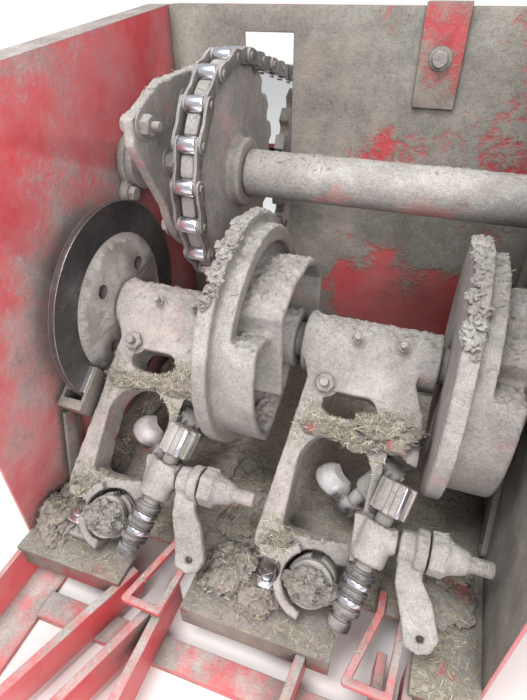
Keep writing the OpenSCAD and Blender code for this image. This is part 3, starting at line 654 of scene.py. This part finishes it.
def displace(obj, tex, strength, level):
    d = obj.modifiers.new(tex.name, "DISPLACE")
    d.texture = tex
    d.texture_coords = "LOCAL"
    d.strength = strength
    d.mid_level = level
    return d


SKIN = ((cloud("crust", 0.012), 0.0006), (cloud("fine crust", 0.0035), 0.0003))
print("skin patterns:", [(tex.name, height) for tex, height in SKIN])

# %% [markdown]
# Clods of dust stay only on faces that look up. Displacing the whole skin would cake the sides too, so each
# corner gets a weight from its normal in a vertex group, and the displacement follows it.

# %% Caked tops
clods = cloud("clods", 0.0055, 4)
clods.contrast = 2.2
UP_FROM, UP_SPREAD, WEIGHT_STEPS, CLOD_LEVEL = 0.74, 0.2, 10, 0.42


def caked_tops(obj, height):
    normals = np.empty(len(obj.data.vertices) * 3)
    obj.data.vertex_normals.foreach_get("vector", normals)
    up = np.clip((normals.reshape(-1, 3)[:, 2] - UP_FROM) / UP_SPREAD, 0.0, 1.0)
    group = obj.vertex_groups.new(name="tops")
    for step in range(1, WEIGHT_STEPS + 1):
        picked = np.nonzero(np.round(up * WEIGHT_STEPS) == step)[0]
        if len(picked):
            group.add(picked.tolist(), step / WEIGHT_STEPS, "REPLACE")
    displace(obj, clods, height, CLOD_LEVEL).vertex_group = "tops"
    apply_all(obj)


print("clod size:", clods.noise_scale)

# %% [markdown]
# Knotter frames, cams, arms and the chain wheel are castings, each with its own height of crust. A coarser
# voxel on the large ones saves faces. The wheel's teeth are pulled in afterwards, because the skin makes them
# stand too far out between the rollers.

# %% Castings
FINE_VOXEL, COARSE_VOXEL, COARSE = 0.0021, 0.0025, ("cam", "drive", "chain", "flange")
CASTINGS = {
    "knotter_frame_1": 0.004, "knotter_frame_2": 0.004, "cam_disc_1": 0.005, "cam_disc_2": 0.005,
    "flange_plate": 0.003, "chain_wheel": 0.0, "stripper_arm_1": 0.003, "stripper_arm_2": 0.003,
    "pivot_stud_1": 0.002, "pivot_stud_2": 0.002, "drive_tube": 0.002}
SKIN_LEVEL, TOOTH_ROOT, TOOTH_SHARE = 0.55, 0.124, 0.3


def cast_skin(node_name, caked):
    obj = merged_copy(node_name + "_cast", node_name, flat=0)
    r = obj.modifiers.new("skin", "REMESH")
    r.mode = "VOXEL"
    r.voxel_size = COARSE_VOXEL if node_name.startswith(COARSE) else FINE_VOXEL
    s = obj.modifiers.new("soft corners", "SMOOTH")
    s.factor = 0.5
    s.iterations = 3
    for tex, height in SKIN:
        displace(obj, tex, height, SKIN_LEVEL)
    apply_all(obj)
    if caked:
        caked_tops(obj, caked)
    only(obj)
    bpy.ops.object.shade_smooth()
    return settle(obj, casting, body_of_node[node_name], node_name, angle=SOFT_ANGLE)


def shorten_teeth(obj):
    for v in obj.data.vertices:
        out = math.hypot(v.co.y - TUBE_Y, v.co.z - TUBE_Z)
        if out > TOOTH_ROOT:
            pull = (TOOTH_ROOT + (out - TOOTH_ROOT) * TOOTH_SHARE) / out
            v.co.y = TUBE_Y + (v.co.y - TUBE_Y) * pull
            v.co.z = TUBE_Z + (v.co.z - TUBE_Z) * pull


CAST = {name: cast_skin(name, caked) for name, caked in CASTINGS.items()}
shorten_teeth(CAST["chain_wheel"])
print("castings:", {name: len(piece.data.polygons) for name, piece in CAST.items()})

# %% [markdown]
# Chain links, bolts and straw repeat by the dozen. Hundreds of linked objects would slow the scene down, so
# each is modelled once at the origin, and the copies of such a master are written into one mesh.

# %% Helpers for repeated pieces
ROUND_ANGLE = 50


def mesh_arrays(obj):
    co = np.empty(len(obj.data.vertices) * 3)
    obj.data.vertices.foreach_get("co", co)
    return co.reshape(-1, 3), [tuple(f.vertices) for f in obj.data.polygons]


def laid_out(name, master, matrices, material, body, *nodes, angle=SMOOTH_ANGLE):
    """Builds one piece out of copies of the master's mesh."""
    co, faces = mesh_arrays(master)
    points, polygons = [], []
    for k, m in enumerate(matrices):
        turn = np.array(m.to_3x3())
        points.append(co @ turn.T + np.array(m.translation))
        polygons += [tuple(i + k * len(co) for i in f) for f in faces]
    mesh = bpy.data.meshes.new(name)
    mesh.from_pydata(np.concatenate(points).tolist(), [], polygons)
    return settle(linked(name, mesh), material, body, *nodes, angle=angle)


def drop(*objs):
    for o in objs:
        bpy.data.objects.remove(o)


def joined(name, *objs):
    deselect()
    for o in objs:
        o.select_set(True)
    bpy.context.view_layer.objects.active = objs[0]
    bpy.ops.object.join()
    objs[0].name = name
    return objs[0]


def added(name, operator, **values):
    """Adds a basic shape, names it and writes its place into its corners."""
    deselect()
    operator(**values)
    obj = bpy.context.object
    obj.name = name
    bpy.ops.object.transform_apply(location=True, rotation=True, scale=False)
    return obj


def turned(name, radius, depth, vertices, edge, place=(0, 0, 0)):
    """A turned piece: a short cylinder along Z with broken edges."""
    obj = added(name, bpy.ops.mesh.primitive_cylinder_add, vertices=vertices, radius=radius, depth=depth,
                location=place)
    bevel(obj, edge, ROUND_ANGLE)
    apply_all(obj)
    return obj


print("round pieces bevel above", ROUND_ANGLE, "degrees")

# %% [markdown]
# A roller chain hangs round its two wheels in a loop of half circles and straight runs. An array along a
# curve could carry the links, but they would drift off the wheel's gaps, so each roller is placed by the
# pitch.

# %% The path of the chain
PITCH, TEETH, RUNS, FALL = 0.0414, 19, 7.5, math.radians(13.4)
WHEEL_R = PITCH / (2 * math.sin(math.pi / TEETH))
LINKS = TEETH + int(2 * RUNS)
CHAIN_X = -0.118


def on_wheel(angle):
    a = math.radians(angle) - FALL
    return WHEEL_R * np.array((math.cos(a), math.sin(a)))


def roller_at(k):
    """The place of a roller: front wheel first, then lower run, rear wheel and upper run."""
    half = TEETH / 2
    k = k % (TEETH + 2 * RUNS)
    way = np.array((math.cos(FALL), -math.sin(FALL)))
    if k < half:
        return on_wheel(90 + k * 360 / TEETH)
    if k < half + RUNS:
        return on_wheel(270) + (k - half) * PITCH * way
    if k < 2 * half + RUNS:
        return RUNS * PITCH * way + on_wheel(-90 + (k - half - RUNS) * 360 / TEETH)
    return RUNS * PITCH * way + on_wheel(90) - (k - 2 * half - RUNS) * PITCH * way


def link_place(k):
    a, b = roller_at(k), roller_at(k + 1)
    d = (b - a) / np.linalg.norm(b - a)
    m = Matrix(((0, 0, 1), (d[0], -d[1], 0), (d[1], d[0], 0))).to_4x4()
    m.translation = (CHAIN_X, TUBE_Y + a[0], TUBE_Z + a[1])
    return m


print("links:", LINKS, "wheel radius:", round(WHEEL_R, 4))

# %% [markdown]
# A link plate has two round eyes and a narrow waist. Instead of cutting it out of a block, half of a circle
# moves out by the pitch, the long sides are divided and drawn in, and the outline is extruded and bevelled.

# %% One link plate
EYE_R, PLATE_T, WAIST, PLATE_EDGE = 0.0084, 0.0032, 0.78, 0.0006


def link_plate(name, z0):
    obj = added(name, bpy.ops.mesh.primitive_circle_add, vertices=24, radius=EYE_R, fill_type="NGON",
                location=(0, 0, z0))
    for v in obj.data.vertices:
        v.co.x += PITCH if v.co.x > 0.0001 else 0.0
    mode("EDIT")
    bpy.ops.mesh.select_all(action="DESELECT")
    mode("OBJECT")
    for e in obj.data.edges:
        a, b = (obj.data.vertices[i].co for i in e.vertices)
        e.select = abs(a.x - b.x) > PITCH * 0.5
    mode("EDIT")
    bpy.ops.mesh.select_mode(type="EDGE")
    bpy.ops.mesh.subdivide(number_cuts=3)
    mode("OBJECT")
    for v in obj.data.vertices:
        if 0.3 * PITCH < v.co.x < 0.7 * PITCH:
            v.co.y *= WAIST
    mode("EDIT")
    bpy.ops.mesh.select_mode(type="VERT")
    bpy.ops.mesh.select_all(action="SELECT")
    bpy.ops.mesh.extrude_region_move(TRANSFORM_OT_translate={"value": (0, 0, PLATE_T)})
    bpy.ops.mesh.select_all(action="SELECT")
    bpy.ops.mesh.normals_make_consistent(inside=False)
    mode("OBJECT")
    bevel(obj, PLATE_EDGE, ROUND_ANGLE)
    apply_all(obj)
    return obj


print("plate thickness:", PLATE_T, "waist:", WAIST)

# %% [markdown]
# The chain repeats two links: an inner one close to the rollers and an outer one over the riveted pins. The
# teeth keep the rollers bright. Laying whole meshes along the path lets them replace the frame's plain loop.

# %% Laying the chain
ROLLER_R, ROLLER_W, PIN_R, PIN_OVER, CHAMFER = 0.009, 0.020, 0.0042, 0.0035, 0.0012
inner = joined("inner plates", link_plate("a", ROLLER_W / 2), link_plate("b", -ROLLER_W / 2 - PLATE_T))
outer = joined("outer plates", link_plate("a", ROLLER_W / 2 + PLATE_T),
               link_plate("b", -ROLLER_W / 2 - 2 * PLATE_T))
roller = turned("roller", ROLLER_R, ROLLER_W - 0.0005, 24, CHAMFER)
pin = turned("pin", PIN_R, ROLLER_W + 4 * PLATE_T + PIN_OVER, 16, CHAMFER)
every = [link_place(k) for k in range(LINKS)]
laid_out("chain_inner_plates", inner, every[0::2], chain_dark, "station", "chain")
laid_out("chain_outer_plates", outer, every[1::2], chain_dark, "station")
laid_out("chain_rollers", roller, every, steel_bright, "station")
laid_out("chain_pins", pin, every, chain_dark, "station")
drop(inner, outer, roller, pin)
print("links laid:", len(every))

# %% [markdown]
# A hexagon head is a six-sided bar whose corners are turned off. A bevel can't cut such curved chamfers, so
# the bar is crossed with a cone. A soft-edged washer goes under it.

# %% Bolt, nut and washer
ROOT_3, CONE_FOOT, CONE_TOP, WASHER_R = 1.732, 0.95, 0.47, 0.78
BOLT, NUT, WASHER_TOP = (0.017, 0.008), (0.019, 0.010), 0.0015


def hex_head(name, across, height):
    middle = (0, 0, height / 2 + WASHER_TOP)
    head = added("head", bpy.ops.mesh.primitive_cylinder_add, vertices=6, radius=across / ROOT_3,
                 depth=height, location=middle)
    cone = added("cone", bpy.ops.mesh.primitive_cone_add, vertices=32, radius1=across * CONE_FOOT,
                 radius2=across * CONE_TOP, depth=height, location=middle)
    cut = head.modifiers.new("chamfer", "BOOLEAN")
    cut.operation = "INTERSECT"
    cut.object = cone
    apply_all(head)
    drop(cone)
    washer = turned("washer", across * WASHER_R, 0.002, 28, 0.0004, (0, 0, 0.0008))
    return joined(name, head, washer)


bolt = hex_head("bolt", *BOLT)
nut = hex_head("nut", *NUT)
stub = turned("stub", 0.0048, 0.012, 16, 0.001, (0, 0, 0.014))
nut = joined("nut with stub", nut, stub)
print("faces of bolt and nut:", len(bolt.data.polygons), len(nut.data.polygons))

# %% [markdown]
# Bolts hold the bearings, sheets, flange plate and strap, and no fitter lines their heads up. Turning each by
# hand would do, but chance is quicker, and a fixed seed repeats it.

# %% Bolts and nuts in place
rng = random.Random(7)
SHAFT_PLATE, TUBE_PLATE, SHEET_EDGE = (0.273, 0.0339), (0.251, 0.0325), 0.264
SHEET_BOLTS = ((0.232, -0.15), (0.232, 0.03), (0.232, 0.21), (-0.20, -0.18), (-0.02, -0.18), (0.16, -0.18))
RING, RING_R, CORNER = (22, 68, 112, 160, 214, 262, 312), 0.088, (-0.125, 0.077)
FLANGE_OUT, FLANGE_IN, STRAP_BOLT, HEAD_NUT = -0.172, -0.160, (0.100, 0.247, 0.263), (-0.030, -0.020, -0.048)


def facing(place, axis, spin=0.0):
    m = Vector(axis).to_track_quat("Z", "Y").to_matrix().to_4x4() @ Matrix.Rotation(spin, 4, "Z")
    return Matrix.Translation(place) @ m


def flange_ring(x, way):
    """Seven places round the flange plate and one at its corner."""
    ring = []
    for a in RING:
        c, q = math.cos(math.radians(a)), math.sin(math.radians(a))
        ring.append(facing((x, TUBE_Y + RING_R * c, TUBE_Z + RING_R * q), (way, 0, 0), rng.random()))
    return ring + [facing((x, TUBE_Y + CORNER[0], TUBE_Z + CORNER[1]), (way, 0, 0))]


places = []
for side in (-1, 1):
    for s in (-1, 1):
        x, off = SHAFT_PLATE
        places.append(facing(shaft_place(side * x, s * off, s * off), (side, 0, 0), rng.random()))
        x, off = TUBE_PLATE
        places.append(facing((-side * x, TUBE_Y + s * off, TUBE_Z + s * off), (side, 0, 0), rng.random()))
    for y, z in SHEET_BOLTS:
        places.append(facing(shaft_place(side * SHEET_EDGE, y, z), (side, 0, 0), rng.random()))
places += flange_ring(FLANGE_OUT, -1)
places.append(facing(shaft_place(*STRAP_BOLT), (0, -1, 0), 0.3))
laid_out("bolt_heads", bolt, places, steel_dusty, "station")
nut_places = flange_ring(FLANGE_IN, 1)
for i in (0, 1):
    way = head_matrix(i).to_3x3() @ Vector((0, -1, 0))
    nut_places.append(facing(head_place(i, *HEAD_NUT), way, 0.5))
laid_out("nuts", nut, nut_places, steel_dusty, "station")
print("bolt heads:", len(places), "nuts:", len(nut_places))

# %% [markdown]
# Two grease nipples stand on each hub. Such a nipple is a small hexagon, a neck and a rounded tip. Three
# turned pieces give its outline, and at this size a finer profile would not show.

# %% Grease nipples
NIPPLE_TILT, HUB_TOP, NIPPLES_X = math.radians(38), 0.037, (-0.004, 0.044)
grease = joined("nipple", turned("a", 0.0055, 0.004, 6, 0.0004, (0, 0, 0.002)),
                turned("b", 0.003, 0.010, 16, 0.0008, (0, 0, 0.007)),
                turned("c", 0.0038, 0.004, 16, 0.0014, (0, 0, 0.013)))
tilt = Matrix.Rotation(NIPPLE_TILT, 3, "X")
places = [facing(shaft_place(HEADS[i] + x, 0, 0) + tilt @ Vector((0, 0, HUB_TOP)), tilt @ Vector((0, 0, 1)))
          for i in (0, 1) for x in NIPPLES_X]
laid_out("grease_nipples", grease, places, casting, "station")
drop(bolt, nut, grease)
print("grease nipples:", len(places))

# %% [markdown]
# Grease and dust pack the gaps between a pinion's teeth until only the tips stand out. Each gap could get its
# own clod, but one cylinder a little smaller than the pinion fills them all and turns with the worm.

# %% Dirt between the pinion teeth
PACKED_R, PACKED_LENGTH, PACKED_Z = 0.0174, 0.029, -0.0085
for i in (0, 1):
    packed = turned("pinion_dirt_%d" % (i + 1), PACKED_R, PACKED_LENGTH, 36, 0.002, (0, 0, PACKED_Z))
    packed.data.transform(worm_frame(i).inverted())
    settle(packed, casting, "worm_group_%d" % (i + 1))
print("pinions packed with dirt: 2")

# %% [markdown]
# A bright coil spring stands on a stud beside the right cam disc. A curve would need the helix worked out
# point by point, while the screw modifier sweeps a small circle up and round in one step.

# %% Coil spring
WIRE_R, COIL_R, COIL_STEP, TURNS = 0.0016, 0.0085, 0.0068, 9
SPRING_AT = (0.2465, 0.035, -0.195)
spring = added("coil_spring", bpy.ops.mesh.primitive_circle_add, vertices=10, radius=WIRE_R,
               location=(COIL_R, 0, 0), rotation=(math.pi / 2, 0, 0))
coil = spring.modifiers.new("coil", "SCREW")
coil.steps = 24
coil.screw_offset = COIL_STEP
coil.iterations = TURNS
apply_all(spring)
stud = turned("stud", 0.005, 0.070, 20, 0.001, (0, 0, 0.035))
collar = turned("collar", 0.0115, 0.004, 28, 0.0008, (0, 0, 0.066))
spring = joined("coil_spring", spring, stud, collar)
for v in spring.data.vertices:
    v.co += shaft_place(*SPRING_AT)
settle(spring, steel_bright, "station")
print("spring faces:", len(spring.data.polygons))

# %% [markdown]
# Chaff collects wherever it isn't rubbed off. A mound could be sculpted, but a ball that cloud patterns
# roughen and that is then pressed flat has the same loose outline. Each is roughened at another spot, so none
# are alike.

# %% One mound of chaff
mound_big, mound_small = cloud("mound", 0.6, 3), cloud("mound grain", 0.1, 5)
LOOSE = ((mound_big, 0.9), (mound_small, 0.4))
SPOT_STEP, INSIDE_X = (0.37, 0.21), 0.2598


def mound(name, place, size, spot, body="station", material=chaff_floor, fineness=5, grains=LOOSE):
    spot = (spot * SPOT_STEP[0], spot * SPOT_STEP[1], 0)
    obj = added(name, bpy.ops.mesh.primitive_ico_sphere_add, subdivisions=fineness, radius=1.0, location=spot)
    for tex, strength in grains:
        displace(obj, tex, strength, 0.5)
    apply_all(obj)
    for v in obj.data.vertices:
        c = v.co - Vector(spot)
        v.co = Vector(place) + Vector((c.x * size[0], c.y * size[1], c.z * size[2]))
        v.co.x = max(-INSIDE_X, min(INSIDE_X, v.co.x))
    return settle(obj, material, body, angle=SOFT_ANGLE)


print("mounds stay within", INSIDE_X, "m")

# %% [markdown]
# Mounds lie on the table where nothing moves, and smaller heaps fill the ledges of the heads. A pile of loose
# fibres would cost far more faces. Caked crust also rides on each twine disc.

# %% Mounds, heaps and caked discs
MOUND_RISE, MOUND_Z, HEAP_SPOT, DISC_SPOT = 1.3, TABLE_Z + 0.001, 21, 41
CAKED_AT, CAKED_SIZE = (0.001, -0.0385, -0.252), (0.024, 0.018, 0.020)
MOUNDS = [
    ((-0.228, -0.270), (0.030, 0.044, 0.022)), ((-0.230, -0.190), (0.026, 0.050, 0.016)),
    ((-0.100, -0.150), (0.050, 0.060, 0.007)), ((-0.004, -0.278), (0.034, 0.036, 0.018)),
    ((-0.010, -0.185), (0.042, 0.060, 0.010)), ((0.030, -0.292), (0.026, 0.024, 0.012)),
    ((0.215, -0.215), (0.034, 0.050, 0.009)), ((-0.235, 0.020), (0.022, 0.110, 0.014)),
    ((0.060, 0.140), (0.150, 0.036, 0.012)), ((-0.150, 0.146), (0.095, 0.030, 0.016))]
HEAPS = [
    (0, (-0.020, -0.018, -0.095), (0.036, 0.014, 0.009)),
    (0, (0.044, -0.018, -0.088), (0.030, 0.016, 0.016)),
    (1, (-0.014, -0.018, -0.096), (0.034, 0.012, 0.009)),
    (1, (0.046, -0.018, -0.086), (0.034, 0.020, 0.020)), (1, (0.020, -0.020, -0.100), (0.024, 0.014, 0.012)),
    (0, (-0.040, -0.014, -0.226), (0.020, 0.020, 0.012)),
    (1, (-0.040, -0.014, -0.226), (0.019, 0.018, 0.012))]
for k, ((x, y), (sx, sy, sz)) in enumerate(MOUNDS):
    mound("chaff_mound_%d" % (k + 1), (x, y, MOUND_Z), (sx, sy, sz * MOUND_RISE), k + 1)
for k, (i, at, size) in enumerate(HEAPS):
    mound("chaff_heap_%d" % (k + 1), head_place(i, *at), size, HEAP_SPOT + k)
for i in (0, 1):
    mound("caked_disc_%d" % (i + 1), head_place(i, *CAKED_AT), CAKED_SIZE, DISC_SPOT + i,
          "twine_disc_group_%d" % (i + 1), crust_mat)
print("mounds:", len(MOUNDS), "heaps:", len(HEAPS), "caked discs: 2")

# %% [markdown]
# The toothed rim of each cam is buried under crumbs that stick to its grease. Displacing the rim would
# stretch it, so small rough balls of random size and place are set along it, and all turn with the cam.

# %% Crumbs on the cam rims
CRUMBS, CRUMB_FROM, CRUMB_STEP, RIM_R, RIM_X = 60, 42, 1.2, 0.1366, 0.0985
CRUMB_SIZE, CRUMB_SPOTS = (0.0060, 0.0080, 0.0044), (60, 130)
rubble = cloud("rubble", 0.45, 1)
rubble.contrast = 2.5
CRUMBLY = ((mound_big, 0.7), (rubble, 0.5))
rng = random.Random(3)
for i in (0, 1):
    crumbs = []
    for k in range(CRUMBS):
        a = math.radians(CRUMB_FROM + CRUMB_STEP * k + rng.uniform(-2, 2))
        size = rng.uniform(0.5, 1.2)
        x = HEADS[i] + RIM_X + rng.uniform(-0.006, 0.005)
        place = shaft_place(x, -RIM_R * math.cos(a), RIM_R * math.sin(a))
        crumbs.append(mound("crumb", place, [s * size for s in CRUMB_SIZE], CRUMB_SPOTS[i] + k,
                            "knotter_shaft_group", casting, 3, CRUMBLY))
    joined("rim_crust_%d" % (i + 1), *crumbs)
print("crumbs on each rim:", CRUMBS)

# %% [markdown]
# A chopped bit of straw is a flat strip with a kink. A hair system could scatter thousands, but it can't be
# handed on as a plain mesh, so one strip of 20 triangles is modelled and copied.

# %% One fibre
STRAW_SIZE = (0.009, 0.0007, 0.0003)
KINK_X, KINK_RISE, TAPER_FROM, TAPER = 0.0012, 0.0009, 0.004, 0.45
fibre = added("fibre", bpy.ops.mesh.primitive_cube_add, size=1.0)
fibre.scale = STRAW_SIZE
bpy.ops.object.transform_apply(location=False, rotation=False, scale=True)
mode("EDIT")
bpy.ops.mesh.select_all(action="SELECT")
bpy.ops.mesh.bisect(plane_co=(KINK_X, 0, 0), plane_no=(1, 0, 0))
mode("OBJECT")
for v in fibre.data.vertices:
    if v.co.x < 0:
        v.co.z += KINK_RISE
    v.co.y *= 1.0 if abs(v.co.x) < TAPER_FROM else TAPER
print("fibre corners:", len(fibre.data.vertices))

# %% [markdown]
# Fibres fall from above, so a ray is cast down for each; placing them by hand would take days. They belong to
# the standing body and keep out of the room that the brake, cams, worms, hooks, discs and arms sweep.

# %% Where fibres may lie
BRAKE_ROOM, CAM_ROOM, DISC_ROOM = (0.142, -1, -0.222), (0.154, 0.082, 0.178), (0.037, -0.08, 0.005)
WORM_ROOM, ARM_ROOM, HOOK_ROOM = (0.025, -0.13, 0.06), (0.14, 0.070, 0.114), 0.05
DISC_AXIS, ARM_AXIS, HOOK_AT = (0.001, -0.252), (-0.038, -0.188), Vector((0.020, 0.031, -0.172))


def surfaces(match):
    """All the pieces whose name passes, as one tree of faces for casting rays."""
    points, faces = [], []
    for o in bpy.context.scene.objects:
        if o.type == "MESH" and match(o.name):
            co, f = mesh_arrays(o)
            faces += [tuple(i + len(points) for i in g) for g in f]
            points += [tuple(c) for c in co]
    return BVHTree.FromPolygons(points, faces)


def in_room(from_axis, along, reach, start, end):
    return from_axis < reach and start < along < end


def swept(p):
    """True near a moving piece, so that loose chaff stays out of its way."""
    rooms = [in_room(from_shaft(p), p.x, *BRAKE_ROOM)]
    for i in (0, 1):
        h, w = head_matrix(i).inverted() @ p, worm_frame(i) @ p
        rooms += [in_room(from_shaft(p), p.x - HEADS[i], *CAM_ROOM),
                  in_room(math.hypot(h.x - DISC_AXIS[0], h.z - DISC_AXIS[1]), h.y, *DISC_ROOM),
                  in_room(math.hypot(w.x, w.y), w.z, *WORM_ROOM), (h - HOOK_AT).length < HOOK_ROOM,
                  in_room(math.hypot(h.y - ARM_AXIS[0], h.z - ARM_AXIS[1]), h.x, *ARM_ROOM)]
    return any(rooms)


MOVING = ("cam", "knotter_shaft", "brake_disc", "worm", "bill", "hook", "twine_disc", "stripper")


def standing(name):
    return name.startswith("chaff") or name.endswith(("_worn", "_cast")) and not name.startswith(MOVING)


still = surfaces(standing)
cams = surfaces(lambda n: n.startswith("cam_disc"))
print("middle of the table swept:", swept(Vector((0, -0.2, TABLE_Z))))

# %% [markdown]
# Strips lie flat on their face, turned every way, thickly on the table and in the heaps and thinly on heads
# and cams. Chance sets their turn and size within limits, as an even pattern would look combed.

# %% Laying the fibres
TIP, LENGTHS, WIDTHS, LIFT, STRAW_ANGLE = 0.25, (0.3, 1.2), (0.5, 1.3), 0.0004, 30


def fibre_places(tree, x, y, top, count, steep=0.35, low=0.0, clear=True):
    found = []
    for _ in range(count):
        start = Vector((rng.uniform(*x), rng.uniform(*y), top))
        hit, normal, _, _ = tree.ray_cast(start, Vector((0, 0, -1)))
        if hit is None or normal.z < steep or hit.z < low or (clear and swept(hit)):
            continue
        lie = normal.to_track_quat("Z", "X").to_matrix().to_4x4()
        turn = Matrix.Rotation(rng.uniform(0, math.tau), 4, "Z")
        turn = turn @ Matrix.Rotation(rng.uniform(-TIP, TIP), 4, "Y")
        size = Matrix.Diagonal((rng.uniform(*LENGTHS), rng.uniform(*WIDTHS), 1.0, 1.0))
        found.append(Matrix.Translation(hit + normal * LIFT) @ lie @ turn @ size)
    return found


rng = random.Random(31)
on_table = fibre_places(still, (-0.255, 0.255), (-0.328, 0.168), TABLE_Z + 0.030, 5200, low=TABLE_Z - 0.001)
on_heads = fibre_places(still, (-0.25, 0.25), (-0.27, 0.12), 0.6, 1500, steep=0.6, low=TABLE_Z + 0.02)
on_heaps = []
for i in (0, 1):
    for x, z in ((-0.02, -0.095), (0.044, -0.09), (0.02, -0.10), (-0.03, -0.226)):
        c = head_place(i, x, -0.02, z)
        on_heaps += fibre_places(still, (c.x - 0.036, c.x + 0.036), (c.y - 0.02, c.y + 0.02), c.z + 0.04, 260,
                                 steep=0.3, low=c.z - 0.02)
on_cams = fibre_places(cams, (-0.075, 0.25), (-0.22, 0.065), 0.6, 700, steep=0.6, clear=False)
for part, places in (("table", on_table), ("head", on_heads), ("heap", on_heaps)):
    laid_out(part + "_fibres_pale", fibre, places[::2], straw_a, "station", angle=STRAW_ANGLE)
    laid_out(part + "_fibres_dull", fibre, places[1::2], straw_b, "station", angle=STRAW_ANGLE)
laid_out("cam_fibres", fibre, on_cams, straw_b, "knotter_shaft_group", angle=STRAW_ANGLE)
drop(fibre)
print("fibres on table, heads, heaps, cams:", len(on_table), len(on_heads), len(on_heaps), len(on_cams))

# %% [markdown]
# The camera stands where the photograph was taken: close in front, to the right and well above. A tracking
# constraint would keep its horizon level, so place, slopes and roll are set as they were fitted.

# %% Camera
AZIMUTH, ELEVATION, ROLL = math.radians(19.9), math.radians(36.8), math.radians(-0.5)
CAMERA_AT, LENS, SENSOR = (0.1329, -0.4718, 0.3465), 25.94, 36
cam_data = bpy.data.cameras.new("camera")
camera = linked("camera", cam_data)
camera.location = shaft_place(*CAMERA_AT)
level = math.cos(ELEVATION)
forward = Vector((-math.sin(AZIMUTH) * level, math.cos(AZIMUTH) * level, -math.sin(ELEVATION)))
right = Vector((math.cos(AZIMUTH), math.sin(AZIMUTH), 0))
up = right.cross(forward)
rolled_right = right * math.cos(ROLL) + up * math.sin(ROLL)
rolled_up = -right * math.sin(ROLL) + up * math.cos(ROLL)
camera.rotation_euler = Matrix((rolled_right, rolled_up, -forward)).transposed().to_euler()
cam_data.sensor_width = SENSOR
cam_data.lens = LENS
cam_data.clip_start = 0.01
bpy.context.scene.camera = camera
print("camera at", [round(v, 3) for v in camera.location])

# %% [markdown]
# A pale, matt floor throws soft light up under the rails. A modelled ground would cost many faces for the
# same light. The floor is only a stage and belongs to no body.

# %% Floor
floor = added("floor", bpy.ops.mesh.primitive_plane_add, size=8, location=(0, 0, -0.0005))
floor_mat = bpy.data.materials.new("pale floor")
floor_mat.use_nodes = True
floor_shader = floor_mat.node_tree.nodes["Principled BSDF"]
floor_shader.inputs["Base Color"].default_value = (0.78, 0.77, 0.75, 1)
floor_shader.inputs["Roughness"].default_value = 0.9
floor.data.materials.append(floor_mat)
print("floor size:", [round(v, 1) for v in floor.dimensions])

# %% [markdown]
# The photograph was taken under an open, hazy sky. A sky texture would need a picture or a sun, while a plain
# pale blue lights all sides evenly. A light path shows the camera white instead, so that outlines stand
# clear.

# %% Sky
SKY_COLOR, SKY_STRENGTH = (0.93, 0.96, 1.0, 1), 0.64
world = bpy.data.worlds.new("soft sky")
bpy.context.scene.world = world
world.use_nodes = True
tree = world.node_tree
sky = tree.nodes["Background"]
sky.inputs["Color"].default_value = SKY_COLOR
sky.inputs["Strength"].default_value = SKY_STRENGTH
white = node(tree, "ShaderNodeBackground", Color=(1, 1, 1, 1))
seen = node(tree, "ShaderNodeLightPath").outputs["Is Camera Ray"]
pick = node(tree, "ShaderNodeMixShader", {0: seen, 1: sky.outputs[0], 2: white.outputs[0]})
tree.links.new(pick.outputs[0], tree.nodes["World Output"].inputs[0])
print("sky strength:", SKY_STRENGTH)

# %% [markdown]
# The brightest part of the sky stands left and above, and a weaker lamp in front opens the shadows between
# the heads. Both are wide squares, because small lamps or a sun would throw hard shadows.


# %% Lamps
def area_lamp(name, place, aim, size, power, color=(1, 1, 1)):
    data = bpy.data.lights.new(name, "AREA")
    data.shape = "SQUARE"
    data.size = size
    data.energy = power
    data.color = color
    lamp = linked(name, data)
    lamp.location = place
    lamp.rotation_euler = (Vector(aim) - Vector(place)).to_track_quat("-Z", "Y").to_euler()
    return lamp


sky_lamp = area_lamp("sky lamp", (-0.4, -0.9, 2.4), (0, 0, 0.3), 0.9, 52)
front_lamp = area_lamp("front lamp", (0.9, -1.9, 1.5), (0, 0, 0.2), 1.0, 35, (1.0, 0.97, 0.94))
bpy.context.scene.view_settings.view_transform = "Standard"
print("lamp power:", sky_lamp.data.energy, front_lamp.data.energy)
